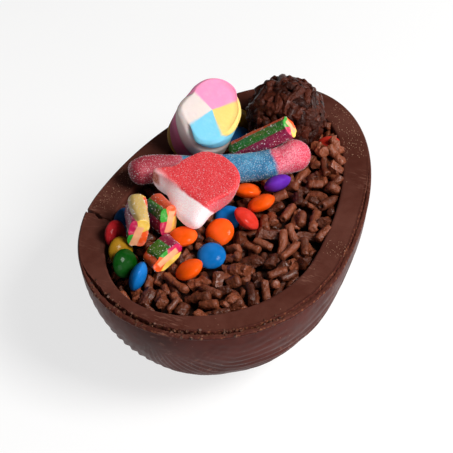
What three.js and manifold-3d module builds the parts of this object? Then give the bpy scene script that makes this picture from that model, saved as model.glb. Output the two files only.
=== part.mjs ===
// Half of a thick moulded chocolate egg, lying on its back, filled to just below
// its rim with fudge under chocolate sprinkles and topped with assorted sweets.
//
// Millimetres, +Z up. The origin is the middle of the bounding box's underside.
// +X runs along the egg towards its pointed end, and the rim lies in a level plane.

import * as THREE from 'three';
import { mergeVertices } from 'three/addons/utils/BufferGeometryUtils.js';
import Module from 'manifold-3d';

const wasm = await Module();
wasm.setup();

// ---------------------------------------------------------------- driving sizes

const bluntHalf = 58;        // widest station to the blunt end
const pointedHalf = 97;      // widest station to the pointed end
const halfWidth = 53;
const fullDepth = 55.9;      // rim plane to the lowest point before it is flattened
const rimHeight = 54.5;      // rim plane above the flat spot that the egg stands on
const widestX = (bluntHalf - pointedHalf) / 2;

const wall = 12;             // thickness of the shell at its rim
const wallThinning = 3.6;    // how much thinner it is beside the coloured lentils
const thinSpot = 160;        // where that is, in degrees round the rim
const thinSpread = 36;

const fluteCount = 27;       // swirled ridges on the outside of this half
const fluteRelief = 0.5;
const fluteSwirl = 14;       // degrees of turn for each e-fold of length

const gap = 0.3;             // clearance between things that touch
const sliver = 0.03;         // detail smaller than this is merged away
const fudgeLevel = 48.2;     // top of the filling, before sprinkles
const fudgeDip = 4;          // how much lower it lies beside the blunt end
const fudgeHeap = 1.6;       // how much higher it lies along the wall near the pointed end
const sprinkleWidth = 3;
const sprinkleSpacing = 7.1; // least distance between the middles of two sprinkles

const colours = {
  milkChocolate: 0x54312a,
  fudge: 0x3a1c12,
  darkFudge: 0x2a130d,
  marshmallow: 0xffc4dc,
  sourPink: 0xeb7088,
  jellyRed: 0xe64650,
  ropeGreen: 0x2f7d2c,
  ropeOrange: 0xf26330,
  orange: 0xf46a16,
  blue: 0x0b76c6,
  navy: 0x0a2c58,
  red: 0xcf3128,
  purple: 0x5a2a9c,
  green: 0x0c6b0e,
  yellow: 0xc08a06,
};

// ---------------------------------------------------------------- small helpers

const group = new THREE.Group();
const turn = Math.PI * 2;
const rad = THREE.MathUtils.degToRad;

function addNode(name, geometry, colour, roughness) {
  const finish = new THREE.MeshStandardMaterial({ color: colour, roughness, metalness: 0 });
  const mesh = new THREE.Mesh(geometry, finish);
  mesh.name = name;
  group.add(mesh);
  return mesh;
}

// A repeatable random number generator.
function seeded(seed) {
  let state = seed;
  return () => {
    state = (state + 0x6d2b79f5) | 0;
    let mixed = Math.imul(state ^ (state >>> 15), 1 | state);
    mixed = (mixed + Math.imul(mixed ^ (mixed >>> 7), 61 | mixed)) ^ mixed;
    return ((mixed ^ (mixed >>> 14)) >>> 0) / 4294967296;
  };
}

// Smooth uneven wobble between -1 and 1 along an angle.
function wobble(angle, waves, phase) {
  const slow = Math.sin(waves * angle + phase);
  const quick = Math.sin((2 * waves + 1) * angle + 2.3 * phase);
  return 0.6 * slow + 0.4 * quick;
}

function toSolid(geometry) {
  const bare = geometry.clone();
  bare.deleteAttribute('normal');
  bare.deleteAttribute('uv');
  const merged = mergeVertices(bare, 1e-4);
  return new wasm.Manifold(new wasm.Mesh({
    numProp: 3,
    vertProperties: new Float32Array(merged.attributes.position.array),
    triVerts: new Uint32Array(merged.index.array),
  }));
}

// A solid's mesh without the needle-thin triangles that cuts leave behind.
function toGeometry(solid) {
  const mesh = solid.asOriginal().simplify(sliver).getMesh();
  const geometry = new THREE.BufferGeometry();
  geometry.setAttribute('position', new THREE.BufferAttribute(new Float32Array(mesh.vertProperties), 3));
  geometry.setIndex(new THREE.BufferAttribute(new Uint32Array(mesh.triVerts), 1));
  return geometry;
}

// Of a solid that a cut has left in pieces, the largest.
function largestPiece(solid) {
  const pieces = solid.decompose();
  pieces.sort((a, b) => b.volume() - a.volume());
  return pieces[0];
}

// Skin over a stack of closed rings, each of the same number of points. The ends
// close to the middle of the first and last ring. Rings turn anticlockwise when
// they are seen from the far end of the stack.
function loft(rings, startTip = null, endTip = null) {
  const count = rings[0].length;
  const points = rings.flat();
  const faces = [];
  for (let r = 0; r + 1 < rings.length; r++) {
    for (let i = 0; i < count; i++) {
      const a = r * count + i;
      const b = r * count + ((i + 1) % count);
      faces.push(a, b, b + count, a, b + count, a + count);
    }
  }
  const middle = (ring) => ring
    .reduce((sum, p) => sum.add(p), new THREE.Vector3())
    .divideScalar(count);
  const last = (rings.length - 1) * count;
  const start = points.push(startTip ?? middle(rings[0])) - 1;
  const end = points.push(endTip ?? middle(rings[rings.length - 1])) - 1;
  for (let i = 0; i < count; i++) {
    const next = (i + 1) % count;
    faces.push(start, next, i);
    faces.push(end, last + i, last + next);
  }
  const geometry = new THREE.BufferGeometry().setFromPoints(points);
  geometry.setIndex(faces);
  return geometry;
}

// ---------------------------------------------------------------- the egg's form

// A point of the egg's rim outline, pulled in by inset, at height z.
function outline(angle, inset, z) {
  const long = Math.cos(angle) > 0 ? pointedHalf : bluntHalf;
  return new THREE.Vector3(
    widestX + (long - inset) * Math.cos(angle),
    (halfWidth - inset) * Math.sin(angle),
    z,
  );
}

function wallAt(angle) {
  const away = ((THREE.MathUtils.radToDeg(angle) - thinSpot + 540) % 360) - 180;
  return wall - wallThinning * Math.exp(-((away / thinSpread) ** 2));
}

// A point on the inside of the shell at height z, moved in by clearance.
function insidePoint(angle, z, clearance) {
  const depth = Math.min((rimHeight - z) / (fullDepth - wall), 0.985);
  const narrowing = Math.sqrt(1 - Math.max(depth, 0) ** 2);
  const edge = outline(angle, wallAt(angle) + clearance, z);
  edge.x = widestX + (edge.x - widestX) * narrowing;
  edge.y *= narrowing;
  return edge;
}

const insideColumns = 56;

function insideRing(z, clearance) {
  return Array.from({ length: insideColumns }, (_, i) => insidePoint((i / insideColumns) * turn, z, clearance));
}

// The whole fluted egg. Ridges swirl off the lines that join its two ends.
function flutedEgg() {
  const stations = 17;
  const columns = fluteCount * 4;
  const rings = [];
  for (let s = 1; s < stations; s++) {
    const along = (s / stations) * Math.PI;
    const long = Math.cos(along) < 0 ? bluntHalf : pointedHalf;
    const x = long * Math.cos(along);
    const radius = Math.sin(along);
    const swirl = rad(fluteSwirl) * Math.log(Math.max(x + bluntHalf, 4));
    const ring = [];
    for (let i = 0; i < columns; i++) {
      const angle = (i / columns) * turn - swirl;
      const relief = (i % 2 ? -0.5 : 0.5) * fluteRelief * Math.min(1, radius * 1.6);
      ring.push(new THREE.Vector3(
        widestX + x,
        -(halfWidth * radius + relief) * Math.cos(angle),
        rimHeight - ((fullDepth * radius) + relief) * Math.sin(angle),
      ));
    }
    rings.push(ring);
  }
  const pointedTip = new THREE.Vector3(widestX + pointedHalf, 0, rimHeight);
  const bluntTip = new THREE.Vector3(widestX - bluntHalf, 0, rimHeight);
  return toSolid(loft(rings.reverse(), bluntTip, pointedTip));
}

// ---------------------------------------------------------------- the shell

// The rough groove round the front of the rim, with the thin outer layer beyond
// it broken off lower than the rim.
function rimBreakage() {
  const steps = 64;
  const first = rad(152);
  const last = rad(330);
  const random = seeded(11);
  const sections = [];
  for (let i = 0; i <= steps; i++) {
    const angle = first + (last - first) * (i / steps);
    const fade = Math.sin((i / steps) * Math.PI) ** 0.35;
    const inner = 3.6 * fade + 0.5 * wobble(angle, 7, 1.1) + 0.5 * random();
    const deep = (1.9 + 0.9 * random()) * fade + 0.1;
    const lip = 0.5 + 0.7 * fade + 0.5 * random();
    const lipWidth = inner * 0.55;
    sections.push([
      outline(angle, inner + 0.2, rimHeight + 2),
      outline(angle, inner, rimHeight - 0.01),
      outline(angle, inner * 0.78, rimHeight - deep),
      outline(angle, lipWidth, rimHeight - lip),
      outline(angle, -0.2, rimHeight - lip - 0.35),
      outline(angle, -2, rimHeight - lip),
      outline(angle, -2, rimHeight + 2),
    ].reverse());
  }
  return toSolid(loft(sections));
}

// A jagged crack across the rim, open at the outside in a small notch.
function rimCrack() {
  const route = [[-29.5, 56.5], [-30.5, 50.5], [-30.4, 47.4], [-32.2, 44.6], [-31.6, 42.4], [-32.4, 38.5]];
  const openings = [1.5, 0.75, 0.45, 0.6, 0.35, 0.4];
  const bottom = rimHeight - 9;
  const sections = route.map(([x, y], i) => {
    const half = openings[i];
    return [
      new THREE.Vector3(x - half, y, rimHeight + 2),
      new THREE.Vector3(x - 0.15, y, bottom),
      new THREE.Vector3(x + 0.15, y, bottom),
      new THREE.Vector3(x + half, y, rimHeight + 2),
    ];
  });
  return toSolid(loft(sections));
}

const cavityFloor = rimHeight - (fullDepth - wall) * 0.97;
const cavityLevels = [cavityFloor, 18, 26, 35, 43];

function cavity() {
  const mouth = 0.9;            // how far the inner edge of the rim is rounded off
  const rings = [...cavityLevels, 49, 52.5, rimHeight - 0.6].map((z) => insideRing(z, 0));
  rings.push(insideRing(rimHeight, -mouth));
  rings.push(insideRing(rimHeight, -mouth - 2).map((p) => p.setZ(rimHeight + 3)));
  return toSolid(loft(rings));
}

function eggShell() {
  const reach = 200;
  const slab = new THREE.BoxGeometry(reach, reach, rimHeight);
  slab.translate(widestX, 0, rimHeight / 2);
  const half = flutedEgg().intersect(toSolid(slab));
  const hollowed = half.subtract(cavity()).subtract(rimBreakage()).subtract(rimCrack());
  return largestPiece(hollowed);
}

// The shell's wall with its inside moved in by the gap, to keep things clear of it.
function shellWithRoom() {
  const outer = [...cavityLevels, 49, rimHeight + gap].map((z) => insideRing(z, -wall));
  const inner = [...cavityLevels, 49, rimHeight + gap * 2].map((z) => insideRing(z, gap));
  return toSolid(loft(outer)).subtract(toSolid(loft(inner)));
}

// ---------------------------------------------------------------- sweets

// Turns a shape made about +Z so that +Z leans by lean degrees towards a compass
// direction, in degrees from +X, after it was spun about its own axis.
function place(geometry, at, towards = 0, lean = 0, spin = 0) {
  geometry.rotateZ(rad(spin - towards));
  geometry.rotateY(rad(lean));
  geometry.rotateZ(rad(towards));
  geometry.translate(...at);
  return geometry;
}

// A sugar-shelled lentil: a flattened round with full edges.
const lentilRadius = 5.85;
const lentilHalfThickness = 3.05;

function lentil(grow = 0) {
  const wide = lentilRadius + grow;
  const thick = lentilHalfThickness + grow;
  const profile = [[0, -1], [0.66, -0.78], [1, -0.14], [1, 0.14], [0.66, 0.78], [0, 1]]
    .map(([r, h]) => new THREE.Vector2(r * wide, h * thick));
  return new THREE.LatheGeometry(profile, 12).rotateX(Math.PI / 2);
}

const lentils = [
  { name: 'lentil_orange_1', colour: colours.orange, at: [8.7, -0.4, 51.3], towards: 18, lean: 33 },
  { name: 'lentil_orange_2', colour: colours.orange, at: [2.3, -9.4, 53.2], towards: 66, lean: 34 },
  { name: 'lentil_orange_3', colour: colours.orange, at: [-18.1, -0.7, 51.7], towards: 168, lean: 29 },
  { name: 'lentil_orange_4', colour: colours.orange, at: [-42.9, 0.6, 53.1], towards: 85, lean: 30 },
  { name: 'lentil_orange_5', colour: colours.orange, at: [-28.5, 10.2, 54.2], towards: 60, lean: 10 },
  { name: 'lentil_purple', colour: colours.purple, at: [13.6, -11.6, 55.4], towards: 51, lean: 53 },
  { name: 'lentil_red_1', colour: colours.red, at: [-9.3, -8.3, 54.2], towards: -46, lean: 43 },
  { name: 'lentil_red_2', colour: colours.red, at: [-38.8, 34.3, 55.2], towards: -91, lean: 68 },
  { name: 'lentil_red_3', colour: colours.red, at: [44.7, -20.5, 53.7], towards: 99, lean: 19 },
  { name: 'lentil_blue_1', colour: colours.blue, at: [-7.5, 0.1, 50.3], towards: -115, lean: 12 },
  { name: 'lentil_blue_2', colour: colours.blue, at: [-32.2, -3.7, 52.5], towards: -163, lean: 15 },
  { name: 'lentil_blue_3', colour: colours.blue, at: [-54.5, 16.4, 53.8], towards: 99, lean: 74 },
  { name: 'lentil_blue_4', colour: colours.navy, at: [-28.7, 36.2, 52.6], towards: -93, lean: 75 },
  { name: 'lentil_blue_5', colour: colours.navy, at: [36.5, 15.6, 52.8], towards: -101, lean: 14 },
  { name: 'lentil_green_1', colour: colours.green, at: [-17.4, 18.6, 50], towards: 143, lean: 10 },
  { name: 'lentil_green_2', colour: colours.green, at: [-50.9, 23.9, 54.4], towards: -102, lean: 63 },
  { name: 'lentil_yellow_1', colour: colours.yellow, at: [-45, 28.8, 53.9], towards: -103, lean: 63 },
  { name: 'lentil_yellow_2', colour: colours.yellow, at: [46.8, 19.9, 52.2], towards: -104, lean: 54 },
];

// A tube along hand-set points with its own radius at each, rounded at both ends.
function softTube(points, radii, sides, squash = 1) {
  const curve = new THREE.CatmullRomCurve3(points.map((p) => new THREE.Vector3(...p)), false, 'centripetal');
  const steps = 18;
  const rings = [];
  const up = new THREE.Vector3(0, 0, 1);
  for (let s = 0; s <= steps; s++) {
    const part = 0.5 - 0.5 * Math.cos((s / steps) * Math.PI);
    const t = THREE.MathUtils.lerp(0.004, 0.996, part);
    const centre = curve.getPoint(t);
    const ahead = curve.getTangent(t);
    const side = new THREE.Vector3().crossVectors(ahead, up).normalize();
    const above = new THREE.Vector3().crossVectors(side, ahead).normalize();
    const knot = t * (radii.length - 1);
    const before = Math.floor(knot);
    const radius = THREE.MathUtils.lerp(radii[before], radii[Math.min(before + 1, radii.length - 1)], knot - before);
    const fromEnd = Math.min(t, 1 - t) * curve.getLength();
    const rounding = Math.sqrt(Math.max(0.02, 1 - Math.max(0, 1 - fromEnd / radius) ** 2));
    const ring = [];
    for (let i = 0; i < sides; i++) {
      const angle = (i / sides) * turn;
      ring.push(centre.clone()
        .addScaledVector(side, radius * rounding * Math.cos(angle))
        .addScaledVector(above, -radius * squash * rounding * Math.sin(angle)));
    }
    rings.push(ring);
  }
  return loft(rings);
}

// A sour sugared worm, its blunt ends thicker than its waist.
const wormRoute = [[-12.1, 41, 61.4], [-5.8, 36.8, 61.4], [2.4, 28.4, 57.8], [7.8, 19.8, 56.2],
  [12, 11.1, 56.6], [16.9, 1.6, 56.7], [24.2, -8, 57.4], [34.1, -16.8, 58.9]];
const wormRadii = [5.9, 6.3, 5.8, 5.5, 5.9, 6, 5.9, 7.8];

function sourWorm(grow = 0) {
  return softTube(wormRoute, wormRadii.map((r) => r + grow), 12, 0.95);
}

// A thick sugared jelly: a flat face with a straight side, where the white layer
// swells outwards below it, and a round far side.
const jellyOutline = [[-7, -8.4], [3, -8.6], [11, -8.2], [12.8, -4], [14.6, 1], [14.8, 6.5], [11.2, 11.6],
  [4.5, 14.6], [-3, 14.8], [-8.9, 11.6], [-11.4, 5], [-12.5, -1], [-15.6, -5], [-16.6, -8.4]];
const jellyThickness = 11.2;
const jellySwell = 7;
const jellyBelly = 7;           // where along its straight side it swells the most
const jellyTaper = 0.2;         // how far its +X end narrows towards its underside

function jelly(grow = 0) {
  const corners = jellyOutline.map(([x, y]) => new THREE.Vector3(x, y, 0));
  const curve = new THREE.CatmullRomCurve3(corners, true, 'centripetal');
  const around = curve.getPoints(32).slice(0, 32);
  const layers = [[-1, 0.86], [-0.86, 0.97], [-0.5, 1.02], [-0.14, 1.01], [-0.04, 0.985], [0, 0.92]];
  const rings = layers.map(([h, size]) => around.map((p) => {
    const out = size * (1 + grow / p.length());
    const rightEnd = THREE.MathUtils.smoothstep(p.x, 0, 13) * THREE.MathUtils.smoothstep(p.y, -9, -1);
    const narrow = 1 - jellyTaper * Math.min(1, -1.4 * h) * rightEnd;
    const belly = Math.max(0, -p.y / 8.6) * Math.max(0, 1 - ((p.x - jellyBelly) / 17) ** 2);
    const swell = jellySwell * Math.min(1, -1.7 * h) * belly;
    return new THREE.Vector3(p.x * out * narrow, p.y * out - swell, h * (jellyThickness + 2 * grow) + grow);
  }));
  return loft(rings);
}

// Four strands of marshmallow twisted together and cut square. Its face lies at
// z = 0 and the strands run back from it along -Z, swelling out behind the cut.
const mallowLength = 20.5;
const mallowTwist = 150;
const mallowRadius = 13;        // away from the cut face, where it is round
const mallowSwell = 1.6;
const mallowDrift = [-3, -2];   // how far its far end has slid sideways
const mallowFace = [12.2, 14.3, 14.8, 13.7, 11.5, 9.7, 10.2, 11.7, 11.2, 11.6, 13.9, 13.4, 12.2, 11.1, 10.9, 11.6];

function marshmallow(grow = 0) {
  const sides = mallowFace.length;
  const stations = [1, 0.94, 0.78, 0.6, 0.42, 0.26, 0.12, 0.05, 0];
  const rings = stations.map((back) => {
    const z = grow - back * (mallowLength + 2 * grow);
    const swelling = mallowSwell * Math.min(1, back / 0.12);
    const edge = back === 1 ? 0.9 : 1;
    return mallowFace.map((face, i) => {
      const angle = (i / sides) * turn;
      const strands = 0.97 + 0.03 * Math.abs(Math.sin(2 * (angle - rad(mallowTwist) * back)));
      const radius = THREE.MathUtils.lerp(face + swelling, mallowRadius, back ** 0.7) * edge * strands + grow;
      return new THREE.Vector3(
        radius * Math.cos(angle) + mallowDrift[0] * back,
        radius * Math.sin(angle) + mallowDrift[1] * back,
        z,
      );
    });
  });
  return loft(rings);
}

// A length of filled rope sweet cut square at its ends: an oblong section, wide
// along X, that runs back from its cut face along -Z.
function cutRope(wide, high, length, grow = 0) {
  const sides = 16;
  const back = [[-length - grow, 0.86], [-length + 1.2, 1], [-length / 2, 1.02], [-0.8, 1], [grow, 0.93]];
  const rings = back.map(([z, size]) => {
    const ring = [];
    for (let i = 0; i < sides; i++) {
      const angle = (i / sides) * turn;
      const [c, s] = [Math.cos(angle), Math.sin(angle)];
      const full = 1 / (Math.abs(c) ** 3 + Math.abs(s) ** 3) ** (1 / 3);
      ring.push(new THREE.Vector3((wide / 2 * size + grow) * full * c, (high / 2 * size + grow) * full * s, z));
    }
    return ring;
  });
  return loft(rings);
}

// Stands a shape made about +Z on a frame: its +Z along face, its +X near across.
function aim(geometry, { at, face, across }) {
  const zAxis = new THREE.Vector3(...face).normalize();
  const yAxis = new THREE.Vector3().crossVectors(zAxis, new THREE.Vector3(...across)).normalize();
  const xAxis = new THREE.Vector3().crossVectors(yAxis, zAxis);
  return geometry.applyMatrix4(new THREE.Matrix4().makeBasis(xAxis, yAxis, zAxis).setPosition(...at));
}

const mallowPose = { at: [22.1, 21.4, 76.6], face: [-0.288, -0.35, 0.891], across: [0.73, -0.6, 0.01] };
const jellyPose = { at: [-9.6, 11.7, 69], face: [-0.1, -0.03, 1], across: [-0.28, -0.96, -0.06] };
const ropes = [
  { name: 'rope_long', size: [9, 7.6, 28.5], at: [30, -10, 71.8], face: [0.19, -0.78, 0.59], across: [-0.32, 0.52, 0.79] },
  { name: 'rope_piece_1', size: [14, 8, 16], at: [-41.6, 22.3, 62.7], face: [-0.86, -0.52, 0.02], across: [-0.13, 0.19, -0.97] },
  { name: 'rope_piece_2', size: [13.5, 7.5, 12], at: [-26.8, 17.1, 58.4], face: [-0.55, -0.82, 0.18], across: [-0.27, -0.04, -0.97] },
  { name: 'rope_piece_3', size: [13.8, 7, 9], at: [-43.4, 9, 56.2], face: [-0.54, -0.81, 0.18], across: [-0.79, 0.43, -0.44] },
];

// ---------------------------------------------------------------- the filling

const ballCentre = [48, -1, 60.5];
const ballRadius = 15.9;        // the bare fudge ball; its sprinkles stand out from it

// A chocolate sprinkle: a short rod along +X with slightly domed ends.
function sprinkle(length) {
  const sides = 5;
  const radius = sprinkleWidth / 2;
  const dome = 0.3 * radius;
  const ring = (x) => Array.from({ length: sides }, (_, i) => {
    const angle = (i / sides) * turn;
    return new THREE.Vector3(x, radius * Math.cos(angle), radius * Math.sin(angle));
  });
  const tip = new THREE.Vector3(length / 2, 0, 0);
  return loft([ring(dome - tip.x), ring(tip.x - dome)], tip.clone().negate(), tip);
}

// The longest of three cuts of a sprinkle that stays clear of an obstacle, or null.
function fitSprinkle(length, matrix, obstacle) {
  for (const cut of [1, 0.8, 0.62]) {
    const rod = toSolid(sprinkle(length * cut).applyMatrix4(matrix));
    if (rod.intersect(obstacle).isEmpty()) return rod;
  }
  return null;
}

function allSweets(grow) {
  const solids = lentils.map((sweet) => toSolid(place(lentil(grow), sweet.at, sweet.towards, sweet.lean)));
  solids.push(toSolid(sourWorm(grow)));
  solids.push(toSolid(aim(jelly(grow), jellyPose)));
  solids.push(toSolid(aim(marshmallow(grow), mallowPose)));
  for (const rope of ropes) solids.push(toSolid(aim(cutRope(...rope.size, grow), rope)));
  return wasm.Manifold.union(solids);
}

function ball(radius) {
  return toSolid(new THREE.IcosahedronGeometry(radius, 2).translate(...ballCentre));
}

// The fudge ball, its sprinkles pressed in flat all over the part that shows.
function fudgeBall(obstacle) {
  const places = 52;
  const goldenTurn = Math.PI * (3 - Math.sqrt(5));
  const lowest = -0.6;          // as a share of the radius: none lie below this
  const random = seeded(5);
  const pieces = [ball(ballRadius)];
  for (let i = 0; i < places; i++) {
    const height = 1 - (2 * i + 1) / places;
    const round = Math.sqrt(1 - height ** 2);
    const out = new THREE.Vector3(round * Math.cos(i * goldenTurn), round * Math.sin(i * goldenTurn), height);
    const heading = new THREE.Quaternion().setFromAxisAngle(out, random() * turn);
    const upright = new THREE.Quaternion().setFromUnitVectors(new THREE.Vector3(0, 0, 1), out);
    const length = 6 + 2.4 * random();
    if (height < lowest) continue;
    const middle = out.clone().multiplyScalar(ballRadius - 0.1).add(new THREE.Vector3(...ballCentre));
    const matrix = new THREE.Matrix4()
      .compose(middle, heading.multiply(upright), new THREE.Vector3(1, 1, 1));
    const rod = fitSprinkle(length, matrix, obstacle);
    if (rod) pieces.push(rod);
  }
  return wasm.Manifold.union(pieces);
}

// Height of the fudge's bare top.
function fudgeTop(x, y) {
  const hollow = Math.exp(-((x + 48) ** 2 + (y - 20) ** 2) / 14 ** 2);
  const heap = THREE.MathUtils.smoothstep(x, 20, 50) * THREE.MathUtils.smoothstep(-y, 4, 20);
  return fudgeLevel - fudgeDip * hollow + fudgeHeap * heap;
}

function fudgeCore() {
  const clearance = gap * 2;
  const rings = cavityLevels.map((z) => insideRing(z, clearance).map((p) => p.setZ(z + gap)));
  const edge = insideRing(fudgeLevel, clearance);
  for (const share of [1, 0.7, 0.35]) {
    rings.push(edge.map((p) => {
      const x = widestX + (p.x - widestX) * share;
      return new THREE.Vector3(x, p.y * share, fudgeTop(x, p.y * share));
    }));
  }
  return toSolid(loft(rings));
}

// Fudge to just below the rim, its top covered in a loose scatter of sprinkles.
function filling(obstacle) {
  const random = seeded(29);
  const tries = 2600;
  const taken = [];
  const pieces = [fudgeCore()];
  for (let i = 0; i < tries; i++) {
    const around = random() * turn;
    const share = Math.sqrt(random());
    const heading = random() * turn;
    const tilt = (random() - 0.5) * rad(22);
    const length = 9.5 - 3.5 * (i / tries) - random();
    const edge = insidePoint(around, fudgeLevel, 1.2);
    const x = widestX + (edge.x - widestX) * share;
    const y = edge.y * share;
    if (taken.some(([px, py]) => Math.hypot(px - x, py - y) < sprinkleSpacing)) continue;
    const matrix = new THREE.Matrix4()
      .makeRotationFromEuler(new THREE.Euler(0, tilt, heading, 'ZYX'))
      .setPosition(x, y, fudgeTop(x, y) + 0.9);
    const rod = fitSprinkle(length, matrix, obstacle);
    if (!rod) continue;
    taken.push([x, y]);
    pieces.push(rod);
  }
  const heaped = wasm.Manifold.union(pieces);
  return largestPiece(heaped.subtract(allSweets(gap)).subtract(ball(ballRadius + gap)));
}

// ---------------------------------------------------------------- assembly

const sweetsAndShell = wasm.Manifold.union(allSweets(gap), shellWithRoom());
const roomForBall = ball(ballRadius + sprinkleWidth);
const fudge = filling(sweetsAndShell.add(roomForBall));
const aboveFudge = fudge.translate(0, 0, gap);

addNode('egg_shell', toGeometry(eggShell()), colours.milkChocolate, 0.5);
addNode('filling', toGeometry(fudge), colours.fudge, 0.5);
addNode('fudge_ball', toGeometry(fudgeBall(sweetsAndShell.add(aboveFudge))), colours.darkFudge, 0.4);
for (const sweet of lentils) {
  addNode(sweet.name, place(lentil(), sweet.at, sweet.towards, sweet.lean), sweet.colour, 0.3);
}
addNode('sour_worm', sourWorm(), colours.sourPink, 0.7);
addNode('jelly', aim(jelly(), jellyPose), colours.jellyRed, 0.7);
addNode('marshmallow', aim(marshmallow(), mallowPose), colours.marshmallow, 0.9);
for (const rope of ropes) {
  addNode(rope.name, aim(cutRope(...rope.size), rope), colours.ropeGreen, 0.5);
}

export default group;
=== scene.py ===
import math
import random

import bpy
import numpy as np
from mathutils import Matrix, Quaternion, Vector, noise
from mathutils.bvhtree import BVHTree


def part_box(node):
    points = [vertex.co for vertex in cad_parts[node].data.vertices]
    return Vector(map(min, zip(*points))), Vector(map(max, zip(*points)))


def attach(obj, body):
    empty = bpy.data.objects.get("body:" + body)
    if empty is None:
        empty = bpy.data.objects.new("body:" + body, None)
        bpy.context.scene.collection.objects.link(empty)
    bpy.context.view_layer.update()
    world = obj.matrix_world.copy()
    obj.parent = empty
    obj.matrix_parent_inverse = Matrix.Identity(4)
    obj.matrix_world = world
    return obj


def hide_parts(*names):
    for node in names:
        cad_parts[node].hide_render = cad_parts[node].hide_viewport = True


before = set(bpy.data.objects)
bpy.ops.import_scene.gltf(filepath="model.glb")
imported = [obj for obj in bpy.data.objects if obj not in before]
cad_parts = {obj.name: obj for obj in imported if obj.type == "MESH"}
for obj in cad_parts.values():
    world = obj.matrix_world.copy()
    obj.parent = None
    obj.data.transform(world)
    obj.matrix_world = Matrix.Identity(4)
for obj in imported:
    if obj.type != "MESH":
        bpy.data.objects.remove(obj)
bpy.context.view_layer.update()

mm = 0.001               # sizes below are in millimetres unless they say otherwise


# colours and node graphs

def tint(code):
    # "#rrggbb" as a display colour, turned into the linear one that sockets take
    parts = [int(code[i:i + 2], 16) / 255 for i in (1, 3, 5)]
    linear = [p / 12.92 if p <= 0.04045 else ((p + 0.055) / 1.055) ** 2.4 for p in parts]
    return (*linear, 1.0)


def spaced(sockets):
    # socket names as Blender writes them
    return {key.replace("_", " "): value for key, value in sockets.items()}


class Wire:
    # a socket that takes part in plain arithmetic
    def __init__(self, graph, socket):
        self.graph = graph
        self.socket = socket

    def __add__(self, other):
        return self.graph.math("ADD", self, other)

    __radd__ = __add__

    def __sub__(self, other):
        return self.graph.math("SUBTRACT", self, other)

    def __rsub__(self, other):
        return self.graph.math("SUBTRACT", other, self)

    def __mul__(self, other):
        return self.graph.math("MULTIPLY", self, other)

    __rmul__ = __mul__

    def __truediv__(self, other):
        return self.graph.math("DIVIDE", self, other)

    def __rtruediv__(self, other):
        return self.graph.math("DIVIDE", other, self)


class Graph:
    # a tree of nodes; a colour code given to a socket becomes its colour
    def __init__(self, tree):
        self.tree = tree

    def node(self, kind, settings=None, inputs=None, out=0):
        made = self.tree.nodes.new(kind)
        for key, value in (settings or {}).items():
            if key == "stops":
                self.paintStops(made.color_ramp, value)
            else:
                setattr(made, key, value)
        for key, value in (inputs or {}).items():
            if isinstance(value, Wire):
                self.tree.links.new(value.socket, made.inputs[key])
            else:
                coded = isinstance(value, str) and value[0] == "#"
                made.inputs[key].default_value = tint(value) if coded else value
        return Wire(self, made.outputs[out]) if made.outputs else None

    def paintStops(self, ramp, stops):
        while len(ramp.elements) < len(stops):
            ramp.elements.new(0.5)
        for element, (place, code) in zip(ramp.elements, stops):
            element.position = place
            element.color = tint(code)

    def math(self, operation, *values):
        return self.node("ShaderNodeMath", {"operation": operation}, dict(enumerate(values)))


class Paint(Graph):
    # one material's nodes
    def __init__(self, name):
        self.material = bpy.data.materials.new(name)
        self.material.use_nodes = True
        super().__init__(self.material.node_tree)
        self.tree.nodes.clear()
        self.at = self.node("ShaderNodeTexCoord", out="Object")

    def attribute(self, label, out="Fac"):
        return self.node("ShaderNodeAttribute", {"attribute_name": label}, out=out)

    def split(self, vector):
        return [self.node("ShaderNodeSeparateXYZ", None, {0: vector}, out=i) for i in range(3)]

    def noise(self, scale, detail=3.0, rough=0.5, vector=None):
        return self.node("ShaderNodeTexNoise", None, {"Vector": vector or self.at, "Scale": scale,
                                                      "Detail": detail, "Roughness": rough})

    def cells(self, scale):
        return self.node("ShaderNodeTexVoronoi", None, {"Vector": self.at, "Scale": scale})

    def step(self, value, low, high, to=(0.0, 1.0)):
        # a smooth step of value from low to high
        return self.node("ShaderNodeMapRange", {"interpolation_type": "SMOOTHSTEP"},
                         {"Value": value, "From Min": low, "From Max": high,
                          "To Min": to[0], "To Max": to[1]})

    def mix(self, factor, first, second, blend="MIX"):
        return self.node("ShaderNodeMix", {"data_type": "RGBA", "blend_type": blend},
                         {0: factor, 6: first, 7: second}, out=2)

    def shade(self, value, low, high, first, second):
        # the first colour where value is low, the second where it is high
        return self.mix(self.step(value, low, high), first, second)

    def ramp(self, share, stops):
        return self.node("ShaderNodeValToRGB", {"stops": stops}, {"Fac": share})

    def bump(self, height, strength, distance):
        return self.node("ShaderNodeBump", None,
                         {"Height": height, "Strength": strength, "Distance": distance * mm})

    def finish(self, **sockets):
        surface = self.node("ShaderNodeBsdfPrincipled", None, spaced(sockets))
        self.node("ShaderNodeOutputMaterial", None, {"Surface": surface})
        return self.material


# mesh helpers

def turns(count):
    # evenly spaced angles round a ring
    return np.arange(count) / count * 2 * math.pi


def ringOf(x, y, z):
    return np.stack(np.broadcast_arrays(x, y, z), 1)


def buildMesh(name, points, faces, values=None):
    mesh = bpy.data.meshes.new(name)
    mesh.from_pydata((np.asarray(points) * mm).tolist(), [], faces)
    mesh.polygons.foreach_set("use_smooth", [True] * len(mesh.polygons))
    for label, data in (values or {}).items():
        data = np.asarray(data, float)
        kind, field = ("FLOAT", "value") if data.ndim == 1 else ("FLOAT_VECTOR", "vector")
        mesh.attributes.new(label, kind, "POINT").data.foreach_set(field, data.ravel())
    mesh.update()
    return putIn(name, mesh)


def putIn(name, data):
    piece = bpy.data.objects.new(name, data)
    bpy.context.scene.collection.objects.link(piece)
    return piece


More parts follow.
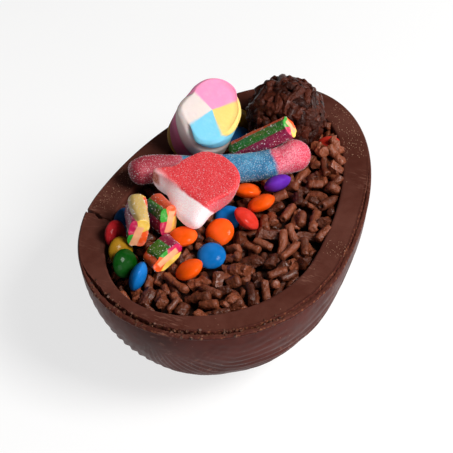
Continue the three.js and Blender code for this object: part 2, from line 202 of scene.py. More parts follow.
def skin(rows):
    # points and faces of a closed skin over stacked rings, which turn anticlockwise seen from the far end
    rows = np.asarray(rows)
    count = rows.shape[1]
    points = np.concatenate([rows.reshape(-1, 3), [rows[0].mean(0)], [rows[-1].mean(0)]])
    faces = []
    for r in range(len(rows) - 1):
        for i in range(count):
            a, b = r * count + i, r * count + (i + 1) % count
            faces.append((a, b, b + count, a + count))
    start, end = len(points) - 2, len(points) - 1
    last = (len(rows) - 1) * count
    for i in range(count):
        after = (i + 1) % count
        faces.append((start, after, i))
        faces.append((end, last + i, last + after))
    return points, faces


def smooth(value, low, high):
    t = np.clip((np.asarray(value, float) - low) / (high - low), 0, 1)
    return t * t * (3 - 2 * t)


def bell(value, middle, spread):
    return np.exp(-((value - middle) / spread) ** 2)


def rough(points, scale, seed=0.0):
    # smooth noise between about -1 and 1 at points in millimetres
    flat = np.asarray(points, float).reshape(-1, 3) * scale + seed
    return np.array([noise.noise(Vector(p)) for p in flat]).reshape(np.shape(points)[:-1])


def dress(piece, material, slot, node=None):
    if material is not None:
        piece.data.materials.clear()
        piece.data.materials.append(material)
    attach(piece, "root")
    if node:
        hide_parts(node)


def stand(at, face, across):
    # origin and axes of a sweet: its +Z along face, its +X near across
    z = Vector(face).normalized()
    y = z.cross(Vector(across)).normalized()
    return np.array(at), np.array([y.cross(z), y, z])


def putUp(local, frameOf):
    origin, axes = frameOf
    return origin + np.asarray(local) @ axes


def nodePoints(name):
    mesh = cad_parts[name].data
    points = np.zeros(len(mesh.vertices) * 3)
    mesh.vertices.foreach_get("co", points)
    return points.reshape(-1, 3) / mm


def middleOf(points):
    return (points.max(0) + points.min(0)) / 2


# geometry nodes

class Growth(Graph):
    # a geometry node tree with named inputs
    def __init__(self, name, inputs):
        super().__init__(bpy.data.node_groups.new(name, "GeometryNodeTree"))
        sockets = self.tree.interface
        sockets.new_socket("Geometry", in_out="INPUT", socket_type="NodeSocketGeometry")
        for label, kind in inputs.items():
            sockets.new_socket(label, in_out="INPUT", socket_type="NodeSocket" + kind)
        sockets.new_socket("Geometry", in_out="OUTPUT", socket_type="NodeSocketGeometry")

    def given(self, label):
        return self.node("NodeGroupInput", out=label)

    def attribute(self, kind, label):
        return self.node("GeometryNodeInputNamedAttribute", {"data_type": kind}, {"Name": label})

    def spread(self, points, instance, **placing):
        # an instance on every point, made into real mesh with the given finish
        copies = self.node("GeometryNodeInstanceOnPoints", None,
                           {"Points": points, "Instance": instance, **spaced(placing)})
        solid = self.node("GeometryNodeRealizeInstances", None, {0: copies})
        dressed = self.node("GeometryNodeSetMaterial", None,
                            {"Geometry": solid, "Material": self.given("Finish")})
        self.node("NodeGroupOutput", None, {"Geometry": dressed})
        return self.tree


def grow(source, tree, values, name):
    # runs a tree on an object and returns the result as a plain mesh object
    modifier = source.modifiers.new("grow", "NODES")
    modifier.node_group = tree
    for item in tree.interface.items_tree:
        if item.item_type == "SOCKET" and item.in_out == "INPUT" and item.name in values:
            modifier[item.identifier] = values[item.name]
    graph = bpy.context.evaluated_depsgraph_get()
    mesh = bpy.data.meshes.new_from_object(source.evaluated_get(graph))
    source.modifiers.remove(modifier)
    return putIn(name, mesh)


def sugarTree():
    g = Growth("sugarCoat", {"Grains per mm2": "Float", "Grain size": "Float", "Seed": "Int",
                             "Finish": "Material"})
    perSquareMetre = g.given("Grains per mm2") * (1e6 - 1e6 * g.attribute("FLOAT", "bare"))
    points = g.node("GeometryNodeDistributePointsOnFaces", {"distribute_method": "RANDOM"},
                    {"Mesh": g.given("Geometry"), "Density": perSquareMetre, "Seed": g.given("Seed")},
                    "Points")
    crystal = g.node("GeometryNodeMeshCube", None, {"Size": (1.0, 0.9, 0.8)})
    turned = g.node("FunctionNodeRandomValue", {"data_type": "FLOAT_VECTOR"},
                    {0: (0.0, 0.0, 0.0), 1: (6.28, 6.28, 6.28), "Seed": 3})
    share = g.node("FunctionNodeRandomValue", {"data_type": "FLOAT"}, {2: 0.55, 3: 1.25, "Seed": 4}, 1)
    return g.spread(points, crystal, Rotation=turned, Scale=share * g.given("Grain size"))


def rodTree():
    # stands rods from a collection on points that carry their kind, turn and stretch
    g = Growth("layRods", {"Rods": "Collection", "Finish": "Material"})
    rods = g.node("GeometryNodeCollectionInfo", {"transform_space": "ORIGINAL"},
                  {"Collection": g.given("Rods"), "Separate Children": True, "Reset Children": True})
    turned = g.node("FunctionNodeEulerToRotation", None, {0: g.attribute("FLOAT_VECTOR", "turn")})
    points = g.node("GeometryNodeMeshToPoints", None, {"Mesh": g.given("Geometry")})
    return g.spread(points, rods, Pick_Instance=True, Instance_Index=g.attribute("INT", "kind"),
                    Rotation=turned, Scale=g.attribute("FLOAT_VECTOR", "stretch"))


sugarCoat = sugarTree()
layRods = rodTree()


def sugarFinish():
    g = Paint("sugarGrains")
    # the grains glow faintly white: painted light that keeps them from showing as dark specks
    return g.finish(Base_Color=g.shade(g.noise(1500, 1), 0.4, 0.6, "#f3eaea", "#ffffff"),
                    Roughness=0.2, Specular_IOR_Level=0.5, Alpha=0.5, Emission_Color="#ffffff",
                    Emission_Strength=0.1)


sugarGrains = sugarFinish()


def sugared(piece, node, slot, perMm2, size, seed):
    density = perMm2
    grains = grow(piece, sugarCoat, {"Grains per mm2": density, "Grain size": size * mm, "Seed": seed,
                                     "Finish": sugarGrains}, node + "_sugar")
    dress(grains, None, slot)


# the egg's form

low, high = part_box("egg_shell")
egg = {
    "length": (high[0] - low[0]) / mm,
    "halfWidth": (high[1] - low[1]) / 2 / mm,
    "rim": high[2] / mm,
    "bluntShare": 58 / 155,        # how much of the length lies before the widest station
    "depth": 55.9,
    "wall": 12,
    "wallThinning": 3.6,
    "thinSpot": 160,               # degrees round the rim where the wall is thinnest
    "thinSpread": 36,
    "ridges": 54,
    "ridgeHeight": 0.65,
    "swirl": 14,                   # degrees the ridges turn
    "swirlFrom": 12,               # how far from the blunt end the swirl begins
}
bluntHalf = egg["length"] * egg["bluntShare"]
pointedHalf = egg["length"] - bluntHalf
widestX = (bluntHalf - pointedHalf) / 2
rim = egg["rim"]
shellFloor = rim - (egg["depth"] - egg["wall"]) * 0.97


def rimPoint(angle, inset):
    long = np.where(np.cos(angle) > 0, pointedHalf, bluntHalf)
    x = widestX + (long - inset) * np.cos(angle)
    y = (egg["halfWidth"] - inset) * np.sin(angle)
    return x, y


def degreesFrom(degrees, place):
    # how far apart two directions are, up to 180
    return np.abs((degrees - place + 180) % 360 - 180)


def wallAt(angle):
    away = degreesFrom(np.degrees(angle), egg["thinSpot"])
    return egg["wall"] - egg["wallThinning"] * bell(away, 0, egg["thinSpread"])


def insidePoint(angle, z, clearance=0.0):
    depth = np.clip((rim - z) / (egg["depth"] - egg["wall"]), 0, 0.985)
    narrowing = np.sqrt(1 - depth ** 2)
    x, y = rimPoint(angle, wallAt(angle) + clearance)
    return widestX + (x - widestX) * narrowing, y * narrowing


# chocolate shell

# the broken edge: degrees round the rim, and sizes
groove = {"first": 128, "full": 150, "fading": 290, "last": 322, "wide": 3.5, "drop": 0.7, "trench": 2.2,
          "crumbsTo": 236}
rimDust = {"degrees": [(80, 100), (272, 279), (312, 345)], "inset": 6.2, "half": 4.4, "lift": 0.02}
crack = {
    "route": [(-29.5, 56.5), (-30.5, 50.5), (-30.4, 47.4), (-32.2, 44.6), (-31.6, 42.4), (-32.4, 38.5)],
    "half": [1.7, 1.1, 0.75, 0.8, 0.6, 0.7],       # half width at each point of the route
    "depth": 6.0,
    "raised": 0.6,                 # how far the chocolate stands up along one side
    "degrees": 103,                # where on the rim it lies, and how far to each side
    "spread": 9,
}


def crackAt(x, y):
    # distance to the crack's line, its half width there, and on which side of it a point lies
    best, half, side = np.full(x.shape, 1e9), np.zeros(x.shape), np.zeros(x.shape)
    stops = list(zip(crack["route"], crack["half"]))
    for ((ax, ay), halfA), ((bx, by), halfB) in zip(stops, stops[1:]):
        dx, dy = bx - ax, by - ay
        t = np.clip(((x - ax) * dx + (y - ay) * dy) / (dx * dx + dy * dy), 0, 1)
        away = np.hypot(x - ax - t * dx, y - ay - t * dy)
        nearer = away < best
        best = np.where(nearer, away, best)
        half = np.where(nearer, halfA * (1 - t) + halfB * t, half)
        side = np.where(nearer, np.sign((x - ax) * dy - (y - ay) * dx), side)
    return best, half, side


def shellColumns():
    coarse = np.arange(0, 360, 0.6)
    fine = np.arange(94.5, 112, 0.16)
    coarse = coarse[(coarse < 94.2) | (coarse > 112.2)]
    return np.radians(np.sort(np.concatenate([coarse, fine])))


def grooveAt(angles):
    # along the rim: how much of the broken edge there is, and its width, drop and inner trench
    degrees = np.degrees(angles)
    there = smooth(degrees, groove["first"], groove["full"])
    there = there * (1 - smooth(degrees, groove["fading"], groove["last"]))
    ring = ringOf(np.cos(angles) * 12, np.sin(angles) * 12, 0)
    wide = groove["wide"] * (1 - 0.25 * smooth(degrees, 175, 215) - 0.1 * smooth(degrees, 255, 290))
    wide = wide * (1 + 0.16 * rough(ring, 0.45) + 0.12 * rough(ring, 2.1, 7.3) + 0.08 * rough(ring, 5.0, 1.3))
    drop = groove["drop"] * (1 + 0.35 * rough(ring, 0.7, 9.2) + 0.3 * rough(ring, 2.6, 5.5))
    trench = groove["trench"] * (1 - 0.72 * smooth(degrees, 185, 235))
    trench = trench * np.maximum(0.1, 1 + 0.7 * rough(ring, 0.8, 3.1) + 0.5 * rough(ring, 3.0, 1.7))
    return there, wide * (0.25 + 0.75 * there), drop, trench


def flankRow(angles, there, phi):
    # one ring of the outside at phi round the long axis, with how broken and how far outside it is
    long = np.where(np.cos(angles) > 0, pointedHalf, bluntHalf)
    x = long * np.cos(angles) * np.cos(phi)
    y = egg["halfWidth"] * np.sin(angles) * np.cos(phi)
    z = egg["depth"] * np.sin(phi)
    around = np.arctan2(z / egg["depth"], -y / egg["halfWidth"])
    turned = around + np.radians(egg["swirl"]) * np.log(np.maximum(x + bluntHalf, egg["swirlFrom"]))
    reach = np.minimum(1, np.sqrt(1 - (x / long) ** 2) * 1.15)
    spot = ringOf(widestX + x, y, rim - z)
    wave = np.cos(egg["ridges"] * turned + 1.5 * rough(spot, 0.07, 3.9))
    # the ridges fade out towards the rim, and some are stronger than others
    shown = smooth(z, 7, 33) * (0.75 + 1.1 * rough(spot, 0.07, 8.1))
    relief = egg["ridgeHeight"] * reach * shown * wave * (1.35 - 0.35 * wave ** 2)
    line = np.maximum(0, -wave) ** 3 * smooth(z, 1.5, 7) * (1 - smooth(z, 16, 30))
    line = line * np.maximum(0, 0.5 + 1.2 * rough(spot, 0.09, 4.6))
    relief = relief - 0.35 * line * reach - 0.15
    relief = relief + 0.12 * rough(spot, 0.14, 2.2) + 0.05 * rough(spot, 0.5, 7.7)
    ragged = 0.3 * rough(spot, 1.4, 3.3) + 0.2 * rough(spot, 3.5, 6.1) - 0.1
    relief = relief + there * smooth(z, 4.5, 1.2) * ragged
    normal = ringOf(x / long ** 2, y / egg["halfWidth"] ** 2, -z / egg["depth"] ** 2)
    normal /= np.linalg.norm(normal, axis=1)[:, None]
    spot = spot + normal * relief[:, None]
    spot[:, 2] = np.maximum(spot[:, 2], 0)
    return spot, 0.5 * there * smooth(z, 2.6, 1.4), 1


def ledgeRow(angles, broken, share):
    # across the broken edge: a low rough ledge, then a trench beside the smooth rim
    there, wide, drop, trench = broken
    inset = share * wide
    x, y = rimPoint(angles, inset)
    spot = ringOf(x, y, 0)
    ragged = 0.6 * rough(spot, 1.3, 4.4) + 0.5 * rough(spot, 3.4, 8.8)
    ledge = drop * (1 + 0.45 * ragged) + 0.9 * max(0, 0.1 - share) / 0.1
    cleft = trench * bell(share, 0.8, 0.13) * (1 + 0.4 * ragged)
    wallUp = smooth(share, 0.88, 1.0)
    fall = (ledge + cleft) * (1 - wallUp) + 0.12 * wallUp * (1 - share) * 8
    plain = 0.9 * np.maximum(0, 1 - inset / 0.9) ** 2.4
    fall = plain * (1 - there) + fall * there
    edges = bell(share, 0.94, 0.06) + bell(share, 0.02, 0.07)
    deepMark = np.minimum(1, trench / 2) * bell(share, 0.78, 0.16)
    return ringOf(x, y, rim - fall), there * np.minimum(1, 0.22 + edges + 0.6 * deepMark), 0.5 * (share < 0.2)


def rimRow(angles, there, wide, share):
    x, y = rimPoint(angles, wide + (wallAt(angles) - 0.9 - wide) * share)
    spot = ringOf(x, y, 0)
    fresh = there * math.exp(-share * 26)
    crumbling = fresh * (0.25 + 0.35 * rough(spot, 2.8, 5.1))
    height = rim + 0.1 * rough(spot, 0.09, 6.0) + 0.035 * rough(spot, 0.5) - 0.06 - crumbling
    return ringOf(x, y, height), fresh * 0.6, 0


def shellRows(angles):
    broken = grooveAt(angles)
    there, wide = broken[:2]
    for phi in np.radians(np.concatenate([np.linspace(89, 20, 68), np.linspace(18.6, 1.4, 15)])):
        yield flankRow(angles, there, phi)
    for share in [0.0, 0.03, 0.08, 0.16, 0.26, 0.38, 0.5, 0.6, 0.68, 0.75, 0.81, 0.86, 0.9, 0.935, 0.965, 1]:
        yield ledgeRow(angles, broken, share)
    for share in np.linspace(0.03, 0.92, 12):
        yield rimRow(angles, there, wide, share)
    for out, fall in [(-0.9, 0.0), (-0.45, 0.12), (-0.12, 0.42), (0, 0.95), (0, 1.8)]:
        yield ringOf(*rimPoint(angles, wallAt(angles) + out), rim - fall), 0, 0
    for z in [51, 49, 46, 43, 39, 35, 26, 18, shellFloor]:
        yield ringOf(*insidePoint(angles, z), z), 0, 0


def shellPiece():
    angles = shellColumns()
    rows = list(shellRows(angles))
    points = np.array([row[0] for row in rows])
    broken, outside = (np.array([row[k] + 0 * angles for row in rows]) for k in (1, 2))
    x, y, z = np.moveaxis(points, 2, 0)
    away, half, side = crackAt(x, y)
    aside = np.abs(np.degrees(np.arctan2(y, x - widestX)) - crack["degrees"])
    nearTop = smooth(z, rim - 8, rim - 0.8) * (aside < crack["spread"])
    half = half * (1 + 0.3 * rough(points * [1, 1, 0], 1.6, 2.0))
    gash = np.clip(1 - away / np.maximum(half, 0.2), 0, 1) ** 0.6 * crack["depth"] * nearTop
    lift = crack["raised"] * (side > 0) * bell(away, 0, 7) * nearTop * (away > half * 0.8)
    points[..., 2] = z - gash + lift
    broken = broken + 0.9 * np.clip(1.5 - away / np.maximum(half, 0.2), 0, 1) * nearTop
    points, faces = skin(points)
    values = {"broken": [*broken.ravel(), 0.0, 0.0], "outside": [*outside.ravel(), 1.0, 0.0]}
    return buildMesh("chocolate_shell", points, faces, values)


def bandMesh(name, bands):
    # bands along the rim: their angles, how far in their middle lies, half width and height
    points, faces = [], []
    for angles, inset, half, height in bands:
        first, count = len(points), len(angles)
        for side in (-1, 1):
            points.extend(ringOf(*rimPoint(angles, inset + side * half), height))
        for i in range(first, first + count - 1):
            faces.append((i, i + 1, i + 1 + count, i + count))
    return buildMesh(name, points, faces)


def scatterCrumbs(name, bands, perMm2, size, seed, finish):
    strip = bandMesh(name + "_band", bands)
    crumbs = grow(strip, sugarCoat, {"Grains per mm2": perMm2, "Grain size": size * mm, "Seed": seed,
                                     "Finish": finish}, name)
    bpy.data.objects.remove(strip)
    dress(crumbs, None, "milk_chocolate")


def ledgeBands():
    # narrow bands along both edges and the middle of the broken ledge
    angles = np.radians(np.arange(groove["first"] + 8, groove["crumbsTo"], 0.5))
    there, wide = grooveAt(angles)[:2]
    return [(angles, wide * share, half * there, rim - fall * there)
            for share, half, fall in [(1, 0.6, 0.25), (0.12, 0.5, 1.1), (0.6, 0.9, 0.9)]]


def dustBands():
    # level bands where crumbs have been strewn over the rim
    return [(np.radians(np.arange(first, last, 1.0)), rimDust["inset"], rimDust["half"],
             rim + rimDust["lift"]) for first, last in rimDust["degrees"]]


def crumbFinish(name, dark, light):
    g = Paint(name)
    speck = g.noise(900, 2)
    colour = g.shade(speck, 0.35, 0.65, dark, light)
    return g.finish(Base_Color=colour, Roughness=0.6, Normal=g.bump(speck, 0.5, 0.3), Specular_IOR_Level=0.3)


def chocolateFinish():
    g = Paint("milkChocolate")
    broken = g.attribute("broken")
    outside = g.attribute("outside")
    cloud = g.noise(28, 4)
    fine = g.noise(260, 4, 0.6)
    tone = g.shade(cloud + 0.3 * fine, 0.45, 0.85, "#46221a", "#5a342b")
    # the flank is duller, and brown with a hint of lilac where it catches the light
    flank = g.shade(cloud + 0.4 * fine, 0.45, 0.95, "#341511", "#4e231d")
    colour = g.mix(outside, tone, flank)
    crumb = g.cells(700)
    crumbTone = g.shade(crumb + 0.5 * fine, 0.4, 0.75, "#74452f", "#48211a")
    colour = g.mix(broken * g.step(fine + 0.3 * crumb + broken * 0.15, 0.45, 0.65), colour, crumbTone)
    # pale specks, and dull scuffs in a few places
    speck = g.step(g.cells(420), 0.16, 0.08) * g.step(g.noise(75, 2), 0.54, 0.6)
    speck = speck * g.step(g.noise(1300, 1), 0.4, 0.5)
    colour = g.mix(speck * 0.6, colour, "#a07a66")
    streaks = g.node("ShaderNodeMapping", None,
                     {"Vector": g.at, "Rotation": (0, 0, 0.7), "Scale": (3, 0.5, 1)})
    streak = g.noise(420, 3, 0.7, streaks)
    scuff = g.step(g.noise(45, 2), 0.52, 0.64) * g.step(streak, 0.52, 0.66)
    colour = g.mix(scuff * 0.4, colour, "#8a6153")
    height = fine * 0.3 + g.noise(90, 2) * 0.6 + broken * (crumb * 1.8 + fine * 2.0)
    normal = g.bump(height, 0.5, 0.35)
    sheen = g.step(fine, 0.3, 0.7, (0.34, 0.46))
    return g.finish(Base_Color=colour, Roughness=sheen + broken * 0.3, Normal=normal, Specular_IOR_Level=0.07)


print("shell")
dress(shellPiece(), chocolateFinish(), "milk_chocolate", "egg_shell")
scatterCrumbs("ledge_crumbs", ledgeBands(), 0.2, 0.9, 5, crumbFinish("darkCrumbs", "#351a10", "#613a28"))
scatterCrumbs("rim_crumbs", dustBands(), 0.5, 0.26, 6, crumbFinish("paleCrumbs", "#7a4f3c", "#a57f68"))


# sweets made over the solids' own places

lentilLook = {
    "columns": 40,
    # shares of the reach at which rings lie, and the powers that make the dome
    "shares": [0.1, 0.25, 0.42, 0.58, 0.71, 0.82, 0.9, 0.955, 0.985, 0.997],
    "full": 2.2,
    "domed": 0.62,
    "oval": 0.02,                  # at most this far from round
}
# two of these, a darker blue and a darker red, are painted shade for lentils that lie in shadow
lentilColours = {"orange": "#f25406", "purple": "#6426ac", "red": "#cf3022", "blue": "#0567b0",
                 "navy": "#084377", "green": "#023f04", "yellow": "#8c6400", "crimson": "#a2191f"}
# painted shade: these lentils lie in shadow and get darker copies of blue and red
shadedLentils = {"lentil_blue_4": "navy", "lentil_blue_5": "navy", "lentil_red_2": "crimson"}


def lentilFinish(name, code):
    g = Paint(name + "Shell")
    mottle = g.noise(190, 3)
    fleck = g.noise(900, 2)
    base = tint(code)
    darker = tuple(c * 0.82 for c in base[:3]) + (1.0,)
    paler = tuple(min(1, c * 1.05 + 0.01) for c in base[:3]) + (1.0,)
    colour = g.shade(mottle, 0.3, 0.7, darker, paler)
    colour = g.mix(g.step(fleck, 0.62, 0.75) * 0.2, colour, paler)
    return g.finish(Base_Color=colour, Roughness=g.step(mottle, 0.3, 0.7, (0.46, 0.54)),
                    Normal=g.bump(mottle + 0.25 * fleck, 0.08, 0.2), Coat_Weight=0.13, Coat_Roughness=0.1,
                    Specular_IOR_Level=0.02)


def lentilPiece(node, seed):
    points = nodePoints(node)
    middle = middleOf(points)
    spread = points - middle
    axes = np.linalg.eigh(spread.T @ spread)[1]
    reach = np.abs(spread @ axes).max(0)
    thick, wide = reach[0], (reach[1] + reach[2]) / 2
    if np.linalg.det(axes) < 0:
        axes[:, 0] *= -1
    oval = 1 + random.Random(seed).uniform(-lentilLook["oval"], lentilLook["oval"])
    full, domed = lentilLook["full"], lentilLook["domed"]
    upper = [(share, (1 - share ** full) ** domed) for share in lentilLook["shares"]]
    profile = [(share, -height) for share, height in upper] + [(1.0, 0.0)] + upper[::-1]
    turn = turns(lentilLook["columns"])
    local, faces = skin([ringOf(height * thick, share * wide * np.cos(turn) * oval,
                                share * wide * np.sin(turn) / oval) for share, height in profile])
    local[-2:] = [[-thick, 0, 0], [thick, 0, 0]]
    return buildMesh(node + "_sweet", middle + local @ axes.T, faces)


print("lentils")
finishes = {name: lentilFinish(name, code) for name, code in lentilColours.items()}
lentilNodes = sorted(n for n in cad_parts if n.startswith("lentil_"))
for seed, node in enumerate(lentilNodes):
    hue = node.split("_")[1]
    dress(lentilPiece(node, seed), finishes[shadedLentils.get(node, hue)], hue + "_shell", node)


def between(a, b, c, d, t):
    # the share t of the way from b to c on a smooth curve that passes through all four
    curving = (2 * a - 5 * b + 4 * c - d) * t * t
    return 0.5 * (2 * b + (c - a) * t + curving + (3 * b - a - 3 * c + d) * t ** 3)


def curveThrough(route, shares):
    # points along a smooth curve, at these shares of the way
    route = np.asarray(route, float)
    padded = np.concatenate([[2 * route[0] - route[1]], route, [2 * route[-1] - route[-2]]])
    places = []
    for share in shares * (len(route) - 1):
        k = min(int(share), len(route) - 2)
        places.append(between(*padded[k:k + 4], share - k))
    return np.array(places)


def roundTrip(outline, count):
    # a smooth closed outline through its corners
    corners = np.asarray(outline, float)
    shares = np.arange(count) / count * len(corners)
    k = shares.astype(int)
    return between(*(corners[(k + j) % len(corners)] for j in (-1, 0, 1, 2)), (shares - k)[:, None])


worm = {
    "route": [(-12.1, 41, 61.4), (-5.8, 36.8, 61.4), (2.4, 28.4, 57.8), (7.8, 19.8, 56.2), (12, 11.1, 56.6),
              (16.9, 1.6, 56.7), (24.2, -8, 57.4), (34.1, -16.8, 58.9)],
    "radii": [5.0, 5.9, 6.2, 5.8, 5.9, 6, 5.9, 7.8],
    "blueFrom": 0.31,              # shares of the length
    "blueTo": 0.825,
    "blend": 0.012,
    "flatter": 0.95,               # height as a share of the width
    "sides": 48,
    "steps": 150,
}


def wormPiece():
    shares = 0.5 - 0.5 * np.cos(np.linspace(0.03, math.pi - 0.03, worm["steps"]))
    centres = curveThrough(worm["route"], shares)
    ahead = np.gradient(centres, axis=0)
    ahead /= np.linalg.norm(ahead, axis=1)[:, None]
    side = np.cross(ahead, [0, 0, 1])
    side /= np.linalg.norm(side, axis=1)[:, None]
    above = np.cross(side, ahead)
    radius = np.interp(shares * (len(worm["radii"]) - 1), range(len(worm["radii"])), worm["radii"])
    length = np.linalg.norm(np.diff(centres, axis=0), axis=1).sum()
    fromEnd = np.minimum(shares, 1 - shares) * length
    rounding = np.sqrt(np.maximum(0.004, 1 - np.maximum(0, 1 - fromEnd / radius) ** 2))
    turn = turns(worm["sides"])[:, None]
    rows = []
    for i, middle in enumerate(centres):
        out = np.cos(turn) * side[i] - worm["flatter"] * np.sin(turn) * above[i]
        ring = middle + radius[i] * rounding[i] * out
        swell = 1 + 0.03 * rough(ring, 0.18, 1.5) + 0.02 * rough(ring, 0.6, 4.5)
        rows.append(middle + (ring - middle) * swell[:, None])
    points, faces = skin(rows)
    values = {"along": [*np.repeat(shares, worm["sides"]), 0.0, 1.0]}
    return buildMesh("sour_worm_gummy", points, faces, values)


def wormFinish():
    g = Paint("sourGummy")
    along = g.attribute("along")
    ragged = along + 0.035 * (g.noise(160, 3) - 0.5)
    start, end, blend = worm["blueFrom"], worm["blueTo"], worm["blend"]
    blue = g.step(ragged, start - blend, start + blend) * g.step(ragged, end + blend, end - blend)
    frost = g.noise(1900, 3, 0.7)
    patch = g.noise(140, 2)
    frosting = g.step(frost + 0.5 * (patch - 0.5), 0.38, 0.72)
    pink = g.mix(frosting, "#c8304c", "#e88798")
    sea = g.mix(frosting, "#0d5a84", "#5a9fc2")
    # painted shade: the left end is darkened towards a dull mauve
    pink = g.mix(g.step(along, 0.34, 0.2) * 0.7, pink, g.mix(1.0, pink, "#a07070", "MULTIPLY"))
    colour = g.mix(blue, pink, sea)
    return g.finish(Base_Color=colour, Roughness=0.6, Normal=g.bump(frost, 0.7, 0.4), Subsurface_Weight=0.15,
                    Subsurface_Scale=0.003, Specular_IOR_Level=0.4)


print("worm")
wormBody = wormPiece()
sugared(wormBody, "sour_worm", "sour_gummy", 1.1, 0.22, 1)
dress(wormBody, wormFinish(), "sour_gummy", "sour_worm")


jelly = {
    "stand": stand((-9.6, 11.7, 69), (-0.1, -0.03, 1), (-0.28, -0.96, -0.06)),
    "outline": [(-7, -8.4), (3, -8.6), (11, -8.2), (12.8, -4), (14.6, 1), (14.8, 6.5), (11.2, 11.6),
                (4.5, 14.6), (-3, 14.8), (-8.9, 11.6), (-11.4, 5), (-12.5, -1), (-15.6, -5), (-16.6, -8.4)],
    "thickness": 11.2,
    "swell": 7,                    # how far the straight side bulges lower down
    "belly": 7,                    # where along it the bulge is widest
    "taper": 0.2,                  # how much narrower the right end is lower down
    "columns": 120,
    # the red lies above a slanting border, which is soft towards the left end
    "border": {"slope": (0.04, 0.862, 0.516), "place": -8.2, "left": (1.0, -9.5), "farLeft": (-9.0, -14.5),
               "softness": (0.45, 2.4, 0.6), "shift": (0.2, -0.4)},
}


def redShare(x, y, z, step, wander=0.0):
    # how far a point lies past the white layer, in half widths of the border
    border = jelly["border"]
    left, farLeft = step(x, *border["left"]), step(x, *border["farLeft"])
    plain, soft, softer = border["softness"]
    tiltX, tiltY, tiltZ = border["slope"]
    across = x * tiltX + y * tiltY + z * tiltZ + (wander - border["place"])
    across = across + left * border["shift"][0] + farLeft * border["shift"][1]
    return across / (left * soft + farLeft * softer + plain)


def jellyPiece():
    # height of each ring, as a share of the thickness, and its share of the full outline
    layers = [(-1, 0.8), (-0.985, 0.9), (-0.93, 0.96), (-0.8, 1), (-0.65, 1.02), (-0.5, 1.03), (-0.36, 1.02),
              (-0.24, 1.01), (-0.15, 1.005), (-0.09, 1), (-0.05, 0.985), (-0.02, 0.96), (-0.004, 0.92)]
    layers += [(0.0, size) for size in (0.84, 0.72, 0.58, 0.42, 0.26, 0.1)]
    outX, outY = roundTrip(jelly["outline"], jelly["columns"]).T
    rightEnd = smooth(outX, 0, 13) * smooth(outY, -9, -1)
    belly = np.maximum(0, -outY / 8.6) * np.maximum(0, 1 - ((outX - jelly["belly"]) / 17) ** 2)
    rows = []
    for h, size in layers:
        narrow = 1 - jelly["taper"] * min(1, -1.4 * h) * rightEnd
        bulge = jelly["swell"] * min(1, -1.7 * h) * belly
        ring = ringOf(outX * size * narrow, outY * size - bulge, h * jelly["thickness"])
        ring[:, :2] *= (1 + 0.02 * rough(ring, 0.2, 3.3))[:, None]
        ring[:, 2] += 0.3 * rough(ring, 0.16, 1.0) + 0.12 * rough(ring, 0.7, 2.0)
        rows.append(ring)
    local, faces = skin(rows)
    # sugar isn't seen on the white layer
    values = {"spot": local, "bare": 1 - smooth(redShare(*local.T, smooth), -0.6, 0.9)}
    return buildMesh("jelly_sweet", putUp(local, jelly["stand"]), faces, values)


def jellyFinish():
    g = Paint("redWhiteJelly")
    x, y, z = g.split(g.attribute("spot", "Vector"))
    wander = (g.noise(200, 3) - 0.5) * 1.6
    red = g.step(redShare(x, y, z, g.step, wander), -1.0, 1.0)
    frost = g.noise(1900, 3, 0.7)
    frosting = g.step(frost, 0.38, 0.74)
    topRed = g.mix(frosting, "#d4222c", "#ec5f63")
    sideRed = g.mix(frosting, "#e04450", "#f2838a")
    reds = g.shade(z, -0.7, -1.8, topRed, sideRed)
    whites = g.shade(frost, 0.38, 0.66, "#efdadb", "#fdf5f4")
    burnt = g.step(x, -12.4, -14.4) * g.step(z, 0.0, -1.0) * g.step(z, -8.0, -5.0) * g.step(frost, 0.3, 0.5)
    whites = g.mix(burnt * 0.95, whites, "#a04c08")
    colour = g.mix(red, whites, reds)
    # painted light: the white layer glows faintly, brighter than the lamps alone would make it
    paintedGlow = g.mix(red, g.mix(1.0, whites, "#a89c9e", "MULTIPLY"), "#000000")
    return g.finish(Base_Color=colour, Roughness=0.6, Normal=g.bump(frost, 0.6, 0.4), Subsurface_Weight=0.2,
                    Subsurface_Scale=0.003, Specular_IOR_Level=0.35, Emission_Color=paintedGlow,
                    Emission_Strength=0.65)


print("jelly")
jellyBody = jellyPiece()
sugared(jellyBody, "jelly", "jelly", 1.0, 0.2, 2)
dress(jellyBody, jellyFinish(), "jelly", "jelly")


mallow = {
    "stand": stand((22.1, 21.4, 76.6), (-0.288, -0.35, 0.891), (0.73, -0.6, 0.01)),
    # reach from the middle of the cut face, every 22.5 degrees
    "face": [12.2, 14.3, 14.8, 13.7, 11.5, 9.7, 10.2, 11.7, 11.2, 11.6, 13.9, 13.4, 12.2, 11.1, 10.9, 11.6],
    "length": 20.5,
    "twist": 150,                        # degrees over the length, and further degrees towards its end
    "tightening": 70,
    "radius": 13,
    "swell": 1.6,
    "drift": (-3, -2),                   # how far the far end lies to the side
    "columns": 160,
    "seams": [2, 109, 195, 266],         # degrees on the cut face
    "deepSeam": 195,
    "creased": -15,
    "dent": 0.35,
}


def mallowFace(turn):
    # the outline of the cut face at these angles
    around = turns(len(mallow["face"]))
    knots = np.array(mallow["face"])
    trip = roundTrip(np.stack([knots * np.cos(around), knots * np.sin(around)], 1), 640)
    order = np.arctan2(trip[:, 1], trip[:, 0]) % (2 * math.pi)
    return np.interp(turn, np.sort(order), np.hypot(*trip.T)[np.argsort(order)], period=2 * math.pi)


